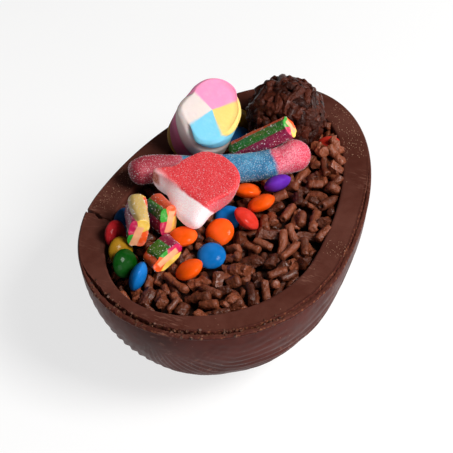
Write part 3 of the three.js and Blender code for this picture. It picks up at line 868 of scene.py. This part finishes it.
def mallowPiece():
    turn = turns(mallow["columns"])
    face = mallowFace(turn)
    rows, spots, creaseShades = [], [], []
    # how far back each ring lies, as a share of the length, and its share of the full reach
    backs = [1, 1, 1, 0.995, 0.98, *np.linspace(0.95, 0.16, 34), 0.12, 0.09, 0.06, 0.035, 0.018, 0.008, 0.004,
             *[0] * 6]
    insides = [0.3, 0.6, 0.8, 0.88, 0.95, *[1] * 40, 0.99, 0.975, 0.95, 0.8, 0.55, 0.3, 0.1]
    for back, inside in zip(backs, insides):
        angle = turn - np.radians(mallow["twist"] * back + mallow["tightening"] * back ** 2)
        away = [degreesFrom(np.degrees(angle), seam) for seam in mallow["seams"]]
        deep = away[mallow["seams"].index(mallow["deepSeam"])]
        swelling = mallow["swell"] * min(1, back / 0.07)
        fading = 1 - smooth(back, 0.3, 0.6)
        strands = 1 - 0.05 * bell(np.min(away, axis=0), 0, 8) * min(1, back / 0.03 + 0.1)
        strands = strands - 0.16 * bell(deep, 0, 9) * smooth(back, 0.01, 0.08) * fading
        radius = ((face + swelling) * (1 - back ** 0.7) + mallow["radius"] * back ** 0.7) * strands * inside
        dented = 0.94 < inside < 0.985 and back < 0.01
        dent = mallow["dent"] * smooth(np.cos(turn - math.radians(mallow["creased"])), 0.25, 0.75) * dented
        ring = ringOf(radius * np.cos(turn) + mallow["drift"][0] * back,
                      radius * np.sin(turn) + mallow["drift"][1] * back, -back * mallow["length"] - dent)
        ring[:, :2] *= (1 + 0.01 * rough(ring, 0.12, 2.0))[:, None]
        ring[:, 2] += 0.35 * rough(ring, 0.11, 5.0)
        rows.append(ring)
        spots.extend(ringOf(radius * np.cos(angle), radius * np.sin(angle), -back * mallow["length"]))
        # how much painted shade falls at the deep seam and along the dent round the cut face
        creaseShades.extend(np.maximum(0.8 * bell(deep, 0, 8) * smooth(back, 0.01, 0.05) * fading, 1.4 * dent))
    local, faces = skin(rows)
    values = {"spot": [*spots, (0, 0, -mallow["length"]), (0, 0, 0)], "crease": [*creaseShades, 0, 0]}
    return buildMesh("marshmallow_twist", putUp(local, mallow["stand"]), faces, values)


def sectorStops(seams, colours, soft):
    # ramp stops that paint each sector between two seams, in degrees from -180 to 180
    shares = [((s + 180) % 360) / 360 for s in seams]
    order = sorted(range(len(seams)), key=lambda i: shares[i])
    stops = [(0.0, colours[order[-1]])]
    for i, k in enumerate(order):
        stops.append((max(0.0, shares[k] - soft), colours[order[i - 1]]))
        stops.append((min(1.0, shares[k] + soft), colours[k]))
    return stops


def angleShare(g, x, y):
    return g.math("ARCTAN2", y, x) / (2 * math.pi) + 0.5


def mallowFinish():
    g = Paint("marshmallowStrands")
    x, y, z = g.split(g.attribute("spot", "Vector"))
    wander = (g.noise(110, 2) - 0.5) * 0.8
    share = angleShare(g, x - 0.5 + wander, y + 0.4 + wander)
    # anticlockwise from each seam: the strand that starts there
    stops = sectorStops(mallow["seams"], ["#f18fb6", "#d9ccc7", "#76c2dc", "#ecc873"], 0.011)
    colour = g.ramp(share, stops)
    pores = g.noise(420, 4, 0.6)
    dimple = g.step(g.cells(260), 0.0, 0.35)
    colour = g.mix(g.step(pores, 0.45, 0.9) * 0.1, colour, "#fff7f4")
    # painted shade: the strands are darker and duller further back from the powdered cut face
    shadedStrands = g.node("ShaderNodeGamma", None, {"Color": colour, "Gamma": 1.7})
    colour = g.mix(g.step(z, -3.0, -13.0) * 0.9, colour, g.mix(1.0, shadedStrands, "#949494", "MULTIPLY"))
    # painted shade darkens the creases
    colour = g.mix(g.attribute("crease") * 0.6, colour, g.mix(0.85, colour, "#8a6a50", "MULTIPLY"))
    return g.finish(Base_Color=colour, Roughness=0.85, Normal=g.bump(pores + 0.5 * dimple, 0.4, 0.3),
                    Subsurface_Weight=0.2, Subsurface_Scale=0.003, Specular_IOR_Level=0.2)


print("marshmallow")
dress(mallowPiece(), mallowFinish(), "marshmallow", "marshmallow")


# each strand's outside colour, darker than its cut end partly from sugar and partly as painted shade, then
# its cut-end colour
strandColours = {
    "green": ("#1b6e17", "#2f9c30"),
    "magenta": ("#8e0f42", "#c81652"),
    "orange": ("#cc4a22", "#f6571c"),
    "yellow": ("#c2a25c", "#f4c853"),
}
# size is width, height and length; the core is a slab with its middle, half length, half width and turn;
# each strand starts at its key, in degrees round the cut face, and runs on anticlockwise
ropes = {
    "rope_long": {
        "stand": stand((30, -10, 71.8), (0.19, -0.78, 0.59), (-0.32, 0.52, 0.79)),
        "size": (9, 7.6, 28.5), "core": (-0.5, -0.5, 3.0, 1.2, -20),
        "strands": {-57: "green", 39: "magenta", 120: "yellow", -155: "orange"},
        "outside": {-24: "green", 46: "magenta", 170: "yellow", -130: "orange"}, "twist": 6, "sugar": 0.35,
    },
    "rope_piece_1": {
        "stand": stand((-41.6, 22.3, 62.7), (-0.86, -0.52, 0.02), (-0.13, 0.19, -0.97)),
        "size": (14, 8, 16), "core": (1.6, -0.4, 5.0, 1.45, -9),
        "strands": {-167: "magenta", -69: "green", -1: "orange", 117: "yellow"},
        "outside": {-165: "magenta", -69: "green", -1: "orange", 112: "yellow"}, "twist": 50, "sugar": 0.3,
    },
    "rope_piece_2": {
        "stand": stand((-26.8, 17.1, 58.4), (-0.55, -0.82, 0.18), (-0.27, -0.04, -0.97)),
        "size": (13.5, 7.5, 12), "core": (0.4, 0.6, 4.6, 1.4, -11),
        "strands": {-168: "green", -94: "magenta", 8: "yellow", 119: "orange"},
        "outside": {-165: "green", -94: "magenta", 8: "yellow", 119: "orange"}, "twist": 8, "sugar": 0.25,
    },
    "rope_piece_3": {
        "stand": stand((-43.4, 9, 56.2), (-0.54, -0.81, 0.18), (-0.79, 0.43, -0.44)),
        "size": (13.8, 7, 9), "core": (-0.1, -0.4, 4.6, 1.3, -4),
        "strands": {-121: "green", -57: "orange", 22: "yellow", 157: "magenta"},
        "outside": {-143: "green", -42: "orange", 22: "yellow", 157: "magenta"}, "twist": 8, "sugar": 0.25,
    },
}


def ropePiece(node, look, seed):
    wide, tall, length = look["size"]
    turn = turns(120)
    full = 1 / (np.abs(np.cos(turn)) ** 3.2 + np.abs(np.sin(turn)) ** 3.2) ** (1 / 3.2)
    outX, outY = wide / 2 * full * np.cos(turn), tall / 2 * full * np.sin(turn)
    angle = np.degrees(np.arctan2(outY, outX))
    backs = [(1, 0.3), (1, 0.65), (1, 0.84), (0.985, 0.93), (0.95, 0.98)]
    backs += [(b, 1.0) for b in np.linspace(0.9, 0.08, 22)]
    backs += [(0.04, 1.0), (0.015, 0.985), (0.004, 0.96), (0, 0.93), (0, 0.85), (0, 0.7), (0, 0.45), (0, 0.2)]
    rows, cut = [], []
    for back, size in backs:
        turned = angle - look["twist"] * back
        nearest = np.min([degreesFrom(turned, seam) for seam in look["outside"]], axis=0)
        pinch = 1 - (0.17 if 0.01 < back < 0.97 else 0.08) * bell(nearest, 0, 10)
        ring = ringOf(outX * size * pinch, outY * size * pinch, -back * length)
        swell = 1 + 0.035 * rough(ring, 0.22, seed * 3.7) + 0.015 * rough(ring, 0.8, seed * 1.3)
        ring[:, :2] *= swell[:, None]
        unevenness = 0.4 if back < 0.05 or back > 0.95 else 0.08
        ring[:, 2] += unevenness * rough(ring * [1, 1, 0.2], 0.3, seed * 2.9)
        if back == 0:
            ring[:, 2] += 0.35 * (1 - size) - 0.1
        rows.append(ring)
        cut.extend([float(back <= 0.004 or back >= 0.985)] * len(turn))
    local, faces = skin(rows)
    cut.extend([1.0, 1.0])
    values = {"spot": local, "cut": cut, "bare": cut}
    return buildMesh(node + "_sweet", putUp(local, look["stand"]), faces, values)


def strandPaint(g, share, strands, side):
    # the colours of the strands, either of their sugared outside, which is darker partly as painted shade, or
    # of their bright cut ends
    starts = sorted(strands)
    return g.ramp(share, sectorStops(starts, [strandColours[strands[s]][side] for s in starts], 0.004))


def ropeFinish(node, look):
    g = Paint(node + "Candy")
    x, y, z = g.split(g.attribute("spot", "Vector"))
    cut = g.attribute("cut")
    wander = (g.noise(260, 3) - 0.5) * 0.9
    share = angleShare(g, x + wander, y + wander)
    grain = g.noise(500, 3)
    dust = g.noise(1300, 2, 0.7)
    turning = z * (look["twist"] / 360 / look["size"][2])
    outer = strandPaint(g, g.math("FRACT", share + turning + 1.0), look["outside"], 0)
    outer = g.mix(g.step(dust, 0.5, 0.7) * 0.18, outer, "#e2cdc2")
    inner = strandPaint(g, share, look["strands"], 1)
    inner = g.mix(g.step(grain, 0.5, 0.75) * 0.2, inner, "#fff0e0")
    coreX, coreY, halfLong, halfWide, turned = look["core"]
    c, s = math.cos(math.radians(turned)), math.sin(math.radians(turned))
    along = g.math("ABSOLUTE", (x - coreX) * c + (y - coreY) * s)
    across = g.math("ABSOLUTE", (y - coreY) * c - (x - coreX) * s)
    core = g.step(along + wander * 0.5, halfLong + 0.3, halfLong - 0.3)
    core = core * g.step(across + wander * 0.25, halfWide + 0.2, halfWide - 0.2)
    inner = g.mix(core, inner, g.mix(grain, "#f59c6c", "#fbbd92"))
    colour = g.mix(cut, outer, inner)
    return g.finish(Base_Color=colour, Roughness=g.step(grain, 0.3, 0.7, (0.3, 0.5)),
                    Normal=g.bump(g.noise(180, 3) + 0.3 * grain, 0.35, 0.5), Subsurface_Weight=0.1,
                    Subsurface_Scale=0.002, Coat_Weight=0.12, Coat_Roughness=0.25)


print("ropes")
for seed, (node, look) in enumerate(ropes.items()):
    piece = ropePiece(node, look, seed + 1)
    sugared(piece, node, "filled_rope", look["sugar"], 0.3, 10 + seed)
    dress(piece, ropeFinish(node, look), "filled_rope", node)


# sprinkles

rod = {"length": 7.0, "width": 3.4, "sides": 9, "kinds": 16}
rodForms = ["smooth", "lumpy", "flat", "tube", "double", "chunk", "bent", "flat"]
sprinkleSizes = {
    "lengths": [6.5, 7.6, 8.8, 10.2, 11.8],
    "widths": (3.1, 4.2),
    "stubbyLengths": (5.4, 8.2),       # of chunks and doubles
    "broadWidths": (3.8, 4.9),         # of chunks and flat ones
    "smallLengths": (3.8, 5.6),
    "smallWidths": (2.7, 3.4),
}


def formOf(kind):
    return rodForms[kind % len(rodForms)]


def rodMesh(kind):
    # one irregular chocolate sprinkle along X
    rng = random.Random(100 + kind)
    form = formOf(kind)
    square = form in ("flat", "chunk")
    turn = turns(rod["sides"]) + rng.uniform(0, 1)
    section = 1 + 0.05 * np.cos(3 * turn + kind)
    if square:
        section = 0.92 / np.maximum(np.abs(np.cos(turn)), np.abs(np.sin(turn))) ** 0.75
    if form == "double":
        section = 0.9 + 0.34 * np.cos(2 * turn)
    stations = [-0.5, -0.47, -0.3, -0.1, 0.12, 0.31, 0.47, 0.5]
    sizes = [0.7, 0.96] + [rng.uniform(0.92, 1.08) for _ in range(4)] + [0.96, 0.7]
    if form == "lumpy":
        sizes = [0.7, 1.0, 1.12, 0.82, 1.1, 0.84, 1.04, 0.74]
    bend = rng.uniform(0.5, 0.9) if form == "bent" else rng.uniform(-0.25, 0.25)
    slant = [rng.uniform(-0.45, 0.45) * (2 if square else 1) for _ in range(2)]
    ragged = 0.22 if square or form == "lumpy" else 0.1
    rows = []
    for share, size in zip(stations, sizes):
        bumps = np.array([rng.uniform(-ragged, ragged) for _ in turn])
        radius = rod["width"] / 2 * size * (section + bumps)
        lean = slant[0 if share < 0 else 1] * (abs(share) > 0.4)
        rows.append(ringOf(share * rod["length"] + lean * np.sin(turn),
                           radius * np.cos(turn) + bend * (4 * share * share - 0.5), radius * np.sin(turn)))
    if form == "tube":
        for share, size in ((0.49, 0.45), (0.3, 0.36)):
            rows.append(rows[4] * [0, size, size] + [share * rod["length"], bend * 0.5, 0])
    points, faces = skin(rows)
    mesh = bpy.data.meshes.new(f"rod{kind}")
    mesh.from_pydata((points * mm).tolist(), [], faces)
    mesh.polygons.foreach_set("use_smooth", [not square] * len(mesh.polygons))
    return mesh


rodKinds = bpy.data.collections.new("rodKinds")
for kind in range(rod["kinds"]):
    rodKinds.objects.link(bpy.data.objects.new(f"rod{kind}", rodMesh(kind)))


def layOut(name, laid, finish):
    # laid: for each sprinkle its middle, direction, spin, length, width, kind and tone
    values = {"turn": [], "stretch": [], "kind": [], "tone": []}
    for item in laid:
        lying = Vector((1, 0, 0)).rotation_difference(item["along"])
        values["turn"].append((lying @ Quaternion((1, 0, 0), item["spin"])).to_euler()[:])
        thick = item["width"] / rod["width"]
        values["stretch"].append((item["length"] / rod["length"], thick, thick))
        values["kind"].append(item["kind"])
        values["tone"].append(item["tone"])
    cloud = buildMesh(name + "_points", [item["at"] for item in laid], [], values)
    piece = grow(cloud, layRods, {"Rods": rodKinds, "Finish": finish}, name)
    bpy.data.objects.remove(cloud)
    return piece


def sprinkleFinish(name, dark, light, gloss, coat, specular):
    g = Paint(name)
    tone = g.attribute("tone")
    patch = g.noise(420, 4, 0.6)
    colour = g.shade(patch * 0.6 + tone * 0.7, 0.15, 1.0, dark, light)
    colour = g.mix(g.step(g.noise(1400, 2), 0.6, 0.75) * 0.15, colour, "#8f604c")
    return g.finish(Base_Color=colour, Roughness=g.step(patch, 0.3, 0.7, gloss),
                    Normal=g.bump(patch + 0.3 * g.noise(900, 3), 0.9, 1.5), Specular_IOR_Level=specular,
                    Coat_Weight=coat, Coat_Roughness=0.2)


def treeOf(names):
    # a search tree over the CAD solids of these nodes, in millimetres
    points, faces = [], []
    for name in names:
        first = len(points)
        points.extend(Vector(p) for p in nodePoints(name))
        faces.extend([[first + i for i in p.vertices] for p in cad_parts[name].data.polygons])
    return BVHTree.FromPolygons(points, faces)


def clearOf(tree, place, distance):
    found, normal, _, away = tree.find_nearest(Vector(place))
    inside = (Vector(place) - found).dot(normal) < 0
    return away > distance and not (inside and away < 12)


filling = {
    "level": 47.2,
    "hollow": {"at": (-48, 20), "spread": 14, "dip": 4},
    "heap": 1.6,                       # rise towards the front of the pointed end
    "bank": 1.6,                       # rise along the front edge
    "pile": 3.9,                       # how thick the sprinkles lie
    "mound": {"at": (40.5, -22.5), "spread": 7.0, "rise": 5.2},
    "cell": 0.4,                       # size of the grid that sprinkles are dropped on
    "choices": 12,
    "patience": 700,                   # misses in a row after which it is full
    "small": 120,                      # misses in a row after which small ones are tried
    "most": 1500,
    "seed": 17,
    "buried": "lentil_red_3",
}


def hump(x, y, at, spread):
    return np.exp(-((x - at[0]) ** 2 + (y - at[1]) ** 2) / spread ** 2)


def fudgeTop(x, y):
    hollow = filling["hollow"]
    heap = smooth(x, 10, 45) * smooth(-y, 0, 18)
    edge = smooth(-y, 12, 34) * smooth(x, -60, -20)
    dip = hollow["dip"] * hump(x, y, hollow["at"], hollow["spread"])
    return filling["level"] - dip + filling["heap"] * heap + filling["bank"] * edge


def pileTop(x, y):
    mound = filling["mound"]
    return fudgeTop(x, y) + filling["pile"] + mound["rise"] * hump(x, y, mound["at"], mound["spread"])


def insideShare(x, y, room):
    # how far out a point is, as a share of the way to the inner wall less some room for a rod
    angle = np.arctan2(y / egg["halfWidth"], (x - widestX) / np.where(x > widestX, pointedHalf, bluntHalf))
    edgeX, edgeY = insidePoint(angle, filling["level"] + 3, room)
    return np.hypot(x - widestX, y) / np.hypot(edgeX - widestX, edgeY)


class Heap:
    # the top of all that lies in the egg so far, on a fine grid
    def __init__(self):
        self.cell = filling["cell"]
        self.xs, self.ys = np.arange(-72, 62, self.cell), np.arange(-46, 46, self.cell)
        self.grid = np.meshgrid(self.xs, self.ys, indexing="ij")
        self.top = fudgeTop(*self.grid)
        buried = treeOf([filling["buried"]])
        for i, j in np.ndindex(self.top.shape):
            hit = buried.ray_cast(Vector((self.xs[i], self.ys[j], 80)), Vector((0, 0, -1)))[0]
            if hit:
                self.top[i, j] = max(self.top[i, j], hit.z)

    def rest(self, alongX, alongY, shares, length, width):
        # height and slope at which a rod comes to rest on what is below it
        i = np.clip(((alongX - self.xs[0]) / self.cell).round().astype(int), 2, len(self.xs) - 3)
        j = np.clip(((alongY - self.ys[0]) / self.cell).round().astype(int), 2, len(self.ys) - 3)
        around = ((0, 0), (2, 0), (-2, 0), (0, 2), (0, -2))
        under = np.max([self.top[i + a, j + b] for a, b in around], axis=0) + width / 2 * 0.6
        slopes = np.linspace(-0.8, 0.8, 13)
        lifts = (under[None, :] - slopes[:, None] * shares[None, :] * length).max(1) + 0.35 * np.abs(slopes)
        best = int(lifts.argmin())
        return lifts[best] - 0.35 * abs(slopes[best]), slopes[best]

    def cover(self, middles, radius):
        # adds a rod, as balls along its middle
        reach = int(radius / self.cell) + 1
        for x, y, z in middles:
            i, j = int((x - self.xs[0]) / self.cell), int((y - self.ys[0]) / self.cell)
            patch = (slice(max(i - reach, 0), i + reach + 2), slice(max(j - reach, 0), j + reach + 2))
            away = (self.grid[0][patch] - x) ** 2 + (self.grid[1][patch] - y) ** 2
            cap = z + np.sqrt(np.maximum(radius ** 2 - away, 0))
            self.top[patch] = np.where(away < radius ** 2, np.maximum(self.top[patch], cap), self.top[patch])


def rollSprinkle(rng, small):
    sizes = sprinkleSizes
    kind = rng.randrange(rod["kinds"])
    stubby, broad = formOf(kind) in ("chunk", "double"), formOf(kind) in ("chunk", "flat")
    length = rng.uniform(*sizes["stubbyLengths"]) if stubby else rng.choice(sizes["lengths"])
    width = rng.uniform(*sizes["broadWidths" if broad else "widths"])
    if small:
        length, width = rng.uniform(*sizes["smallLengths"]), rng.uniform(*sizes["smallWidths"])
    spin, tone = rng.uniform(0, 6.28), rng.random()
    return {"kind": kind, "length": length, "width": width, "spin": spin, "tone": tone}


def placesFor(heap, rng, shares, length, width):
    # a few places tried at random, the lowest first
    places = []
    for _ in range(filling["choices"]):
        x, y, heading = rng.uniform(-70, 60), rng.uniform(-44, 44), rng.uniform(0, math.pi)
        alongX = x + shares * length * math.cos(heading)
        alongY = y + shares * length * math.sin(heading)
        if insideShare(alongX, alongY, width * 0.25).max() > 1:
            continue
        lift, slope = heap.rest(alongX, alongY, shares, length, width)
        over = lift + width / 2 - pileTop(x, y) - 2.1
        places.append((over, lift, slope, heading, x, y))
    return sorted(places)


def sprinkleHeap():
    # rods are dropped one by one, each at the lowest of a few places tried, and settle on what lies there
    rng = random.Random(filling["seed"])
    heap = Heap()
    sweets = treeOf([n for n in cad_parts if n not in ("egg_shell", "filling", filling["buried"])])
    shares = np.linspace(-0.5, 0.5, 9)
    laid = []
    misses = 0
    while misses < filling["patience"] and len(laid) < filling["most"]:
        small = misses > filling["small"]
        item = rollSprinkle(rng, small)
        length, width = item["length"], item["width"]
        misses += 1
        for over, lift, slope, heading, x, y in placesFor(heap, rng, shares, length, width)[:4]:
            middles = ringOf(x + shares * length * math.cos(heading), y + shares * length * math.sin(heading),
                             lift + slope * shares * length)
            fits = over < (-1.8 if small else 0)
            if fits and all(clearOf(sweets, m, width / 2 * 0.9) for m in middles[::2]):
                along = Vector((math.cos(heading), math.sin(heading), slope)).normalized()
                laid.append({"at": (x, y, lift), "along": along, **item})
                heap.cover(middles, width / 2)
                misses = 0
                break
    print("  sprinkles laid", len(laid))
    return laid


def fudgeCore():
    turn = turns(96)
    rows = [ringOf(*insidePoint(turn, z, 0.6), z + 0.3) for z in [shellFloor, 18, 26, 35, 43]]
    edgeX, edgeY = insidePoint(turn, filling["level"], 0.5)
    for share in np.linspace(1, 0.04, 34):
        x, y = widestX + (edgeX - widestX) * share, edgeY * share
        ring = ringOf(x, y, fudgeTop(x, y))
        ring[:, 2] += 0.5 * rough(ring, 0.25) + 0.25 * rough(ring, 0.8) - 0.3
        rows.append(ring)
    return buildMesh("fudge_filling", *skin(rows))


def fudgeFinish():
    g = Paint("fudge")
    grain = g.noise(300, 4)
    colour = g.shade(grain, 0.3, 0.7, "#120603", "#220e07")
    return g.finish(Base_Color=colour, Roughness=0.6, Normal=g.bump(grain, 0.6, 0.6), Specular_IOR_Level=0.15)


print("filling")
dress(fudgeCore(), fudgeFinish(), "fudge", "filling")
looseFinish = sprinkleFinish("chocolateSprinkles", "#351205", "#82442b", (0.25, 0.4), 0.17, 0.3)
dress(layOut("sprinkles", sprinkleHeap(), looseFinish), None, "fudge")


ball = {
    "count": 235,
    "coreInset": 3.5,
    "sink": 0.3,
    "loose": 1.0,                  # how unevenly far out the sprinkles lie
    "lowest": 48.5,
    "lengths": (5.2, 9.4),
    "widths": (3.1, 4.4),
    "seed": 41,
}
ballPoints = nodePoints("fudge_ball")
ballMiddle = middleOf(ballPoints)
ballCore = np.ptp(ballPoints[:, 0]) / 2 - ball["coreInset"]


def ballPiece():
    turn = turns(64)
    rows = []
    for t in np.linspace(0, math.pi, 33)[1:-1]:
        ring = ringOf(math.sin(t) * np.cos(turn), math.sin(t) * np.sin(turn), -math.cos(t))
        rows.append(ballMiddle + ring * (ballCore + 0.3 * rough(ring * ballCore, 0.3))[:, None])
    points, faces = skin(rows)
    points[-2:] = ballMiddle + [[0, 0, -ballCore], [0, 0, ballCore]]
    return buildMesh("fudge_ball_core", points, faces)


def ballSprinkles():
    # evenly spread over the ball, lying nearly flat on it
    rng = random.Random(ball["seed"])
    others = treeOf([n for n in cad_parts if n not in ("fudge_ball", "filling")])
    laid = []
    for i in range(ball["count"]):
        height = 1 - (2 * i + 1) / ball["count"]
        flat = math.sqrt(1 - height ** 2)
        angle = i * math.pi * (3 - math.sqrt(5)) + rng.uniform(-0.2, 0.2)
        out = Vector((flat * math.cos(angle), flat * math.sin(angle), height))
        heading = Quaternion(out, rng.uniform(0, 6.28)) @ out.orthogonal().normalized()
        heading = (heading + out * rng.uniform(-0.25, 0.25)).normalized()
        length, width = rng.uniform(*ball["lengths"]), rng.uniform(*ball["widths"])
        place = Vector(ballMiddle) + out * (ballCore + ball["sink"] + rng.uniform(0, ball["loose"]))
        spin, kind, tone = rng.uniform(0, 6.28), rng.randrange(rod["kinds"]), rng.random()
        tips = [place + heading * length * s for s in (-0.45, 0, 0.45)]
        if place.z >= ball["lowest"] and all(clearOf(others, p, width / 2 * 0.8) for p in tips):
            laid.append({"at": place[:], "along": heading, "spin": spin, "length": length, "width": width,
                         "kind": kind, "tone": tone})
    print("  ball sprinkles", len(laid))
    return laid


print("ball")
dress(ballPiece(), fudgeFinish(), "sprinkled_fudge", "fudge_ball")
ballFinish = sprinkleFinish("ballSprinkles", "#220a05", "#4c2115", (0.26, 0.42), 0.07, 0.12)
dress(layOut("fudge_ball_sprinkles", ballSprinkles(), ballFinish), None, "sprinkled_fudge")


# floor, lights and camera

def floorFinish():
    g = Paint("paleFloor")
    colour = g.mix(g.noise(6, 2), "#8c8c8c", "#949494")
    return g.finish(Base_Color=colour, Roughness=0.7, Specular_IOR_Level=0.2, Emission_Color="#ffffff",
                    Emission_Strength=0.72)


def floorPiece():
    reach = 3000
    corners = [(x * reach, y * reach, 0) for x, y in ((-1, -1), (1, -1), (1, 1), (-1, 1))]
    return buildMesh("floor", corners, [(0, 1, 2, 3)])


# angles in degrees, the lens for a sensor 36 mm wide
view = {
    "target": (2.4, 6.3, 34.5),
    "azimuth": -63.996,
    "elevation": 43.035,
    "roll": -1.809,
    "distance": 600,
    "lens": 116.17,
}
# each softbox: its direction to the right, up and back from the target, distance, size, power and colour,
# in metres and watts
softboxes = {
    "key": ((0.58, 0.32, 0.75), 0.9, (0.35, 0.35), 10.2, (1.0, 0.985, 0.965)),
    "fill": ((0.25, -0.45, 0.86), 1.0, (0.5, 0.5), 2.4, (0.93, 0.95, 1.0)),
    "back": ((0.7, 0.75, -0.1), 1.0, (0.4, 0.6), 1.1, (1.0, 0.98, 0.97)),
    "side": ((0.93, -0.1, 0.35), 1.0, (0.4, 0.25), 1.6, (1.0, 0.98, 0.98)),
}
room = {"colour": (0.94, 0.96, 1.0, 1.0), "strength": 0.07}


def viewAxes():
    azimuth, elevation = math.radians(view["azimuth"]), math.radians(view["elevation"])
    back = Vector((math.sin(azimuth) * math.cos(elevation), -math.cos(azimuth) * math.cos(elevation),
                   math.sin(elevation)))
    level = (-back).cross(Vector((0, 0, 1))).normalized()
    steep = level.cross(-back)
    roll = math.radians(view["roll"])
    c, s = math.cos(roll), math.sin(roll)
    return level * c + steep * s, steep * c - level * s, back


def addCamera():
    camera = putIn("camera", bpy.data.cameras.new("camera"))
    camera.data.lens = view["lens"]
    camera.data.sensor_width = 36
    camera.data.clip_start = 0.01
    right, up, back = viewAxes()
    place = Vector(view["target"]) * mm + back * view["distance"] * mm
    camera.matrix_world = Matrix.Translation(place) @ Matrix((right, up, back)).transposed().to_4x4()
    bpy.context.scene.camera = camera


def addSoftbox(name, towards, distance, size, power, colour):
    lamp = bpy.data.lights.new(name, "AREA")
    lamp.shape = "RECTANGLE"
    lamp.size, lamp.size_y = size
    lamp.energy = power
    lamp.color = colour
    box = putIn(name, lamp)
    aim = sum((axis * share for axis, share in zip(viewAxes(), towards)), Vector()).normalized()
    box.location = Vector(view["target"]) * mm + aim * distance
    box.rotation_euler = aim.to_track_quat("Z", "Y").to_euler()


print("stage")
floor = floorPiece()
floor.data.materials.append(floorFinish())
addCamera()
for name, box in softboxes.items():
    addSoftbox(name, *box)
world = bpy.data.worlds.new("room")
world.use_nodes = True
background = world.node_tree.nodes["Background"].inputs
background["Color"].default_value = room["colour"]
background["Strength"].default_value = room["strength"]
bpy.context.scene.world = world
bpy.context.scene.view_settings.view_transform = "Standard"
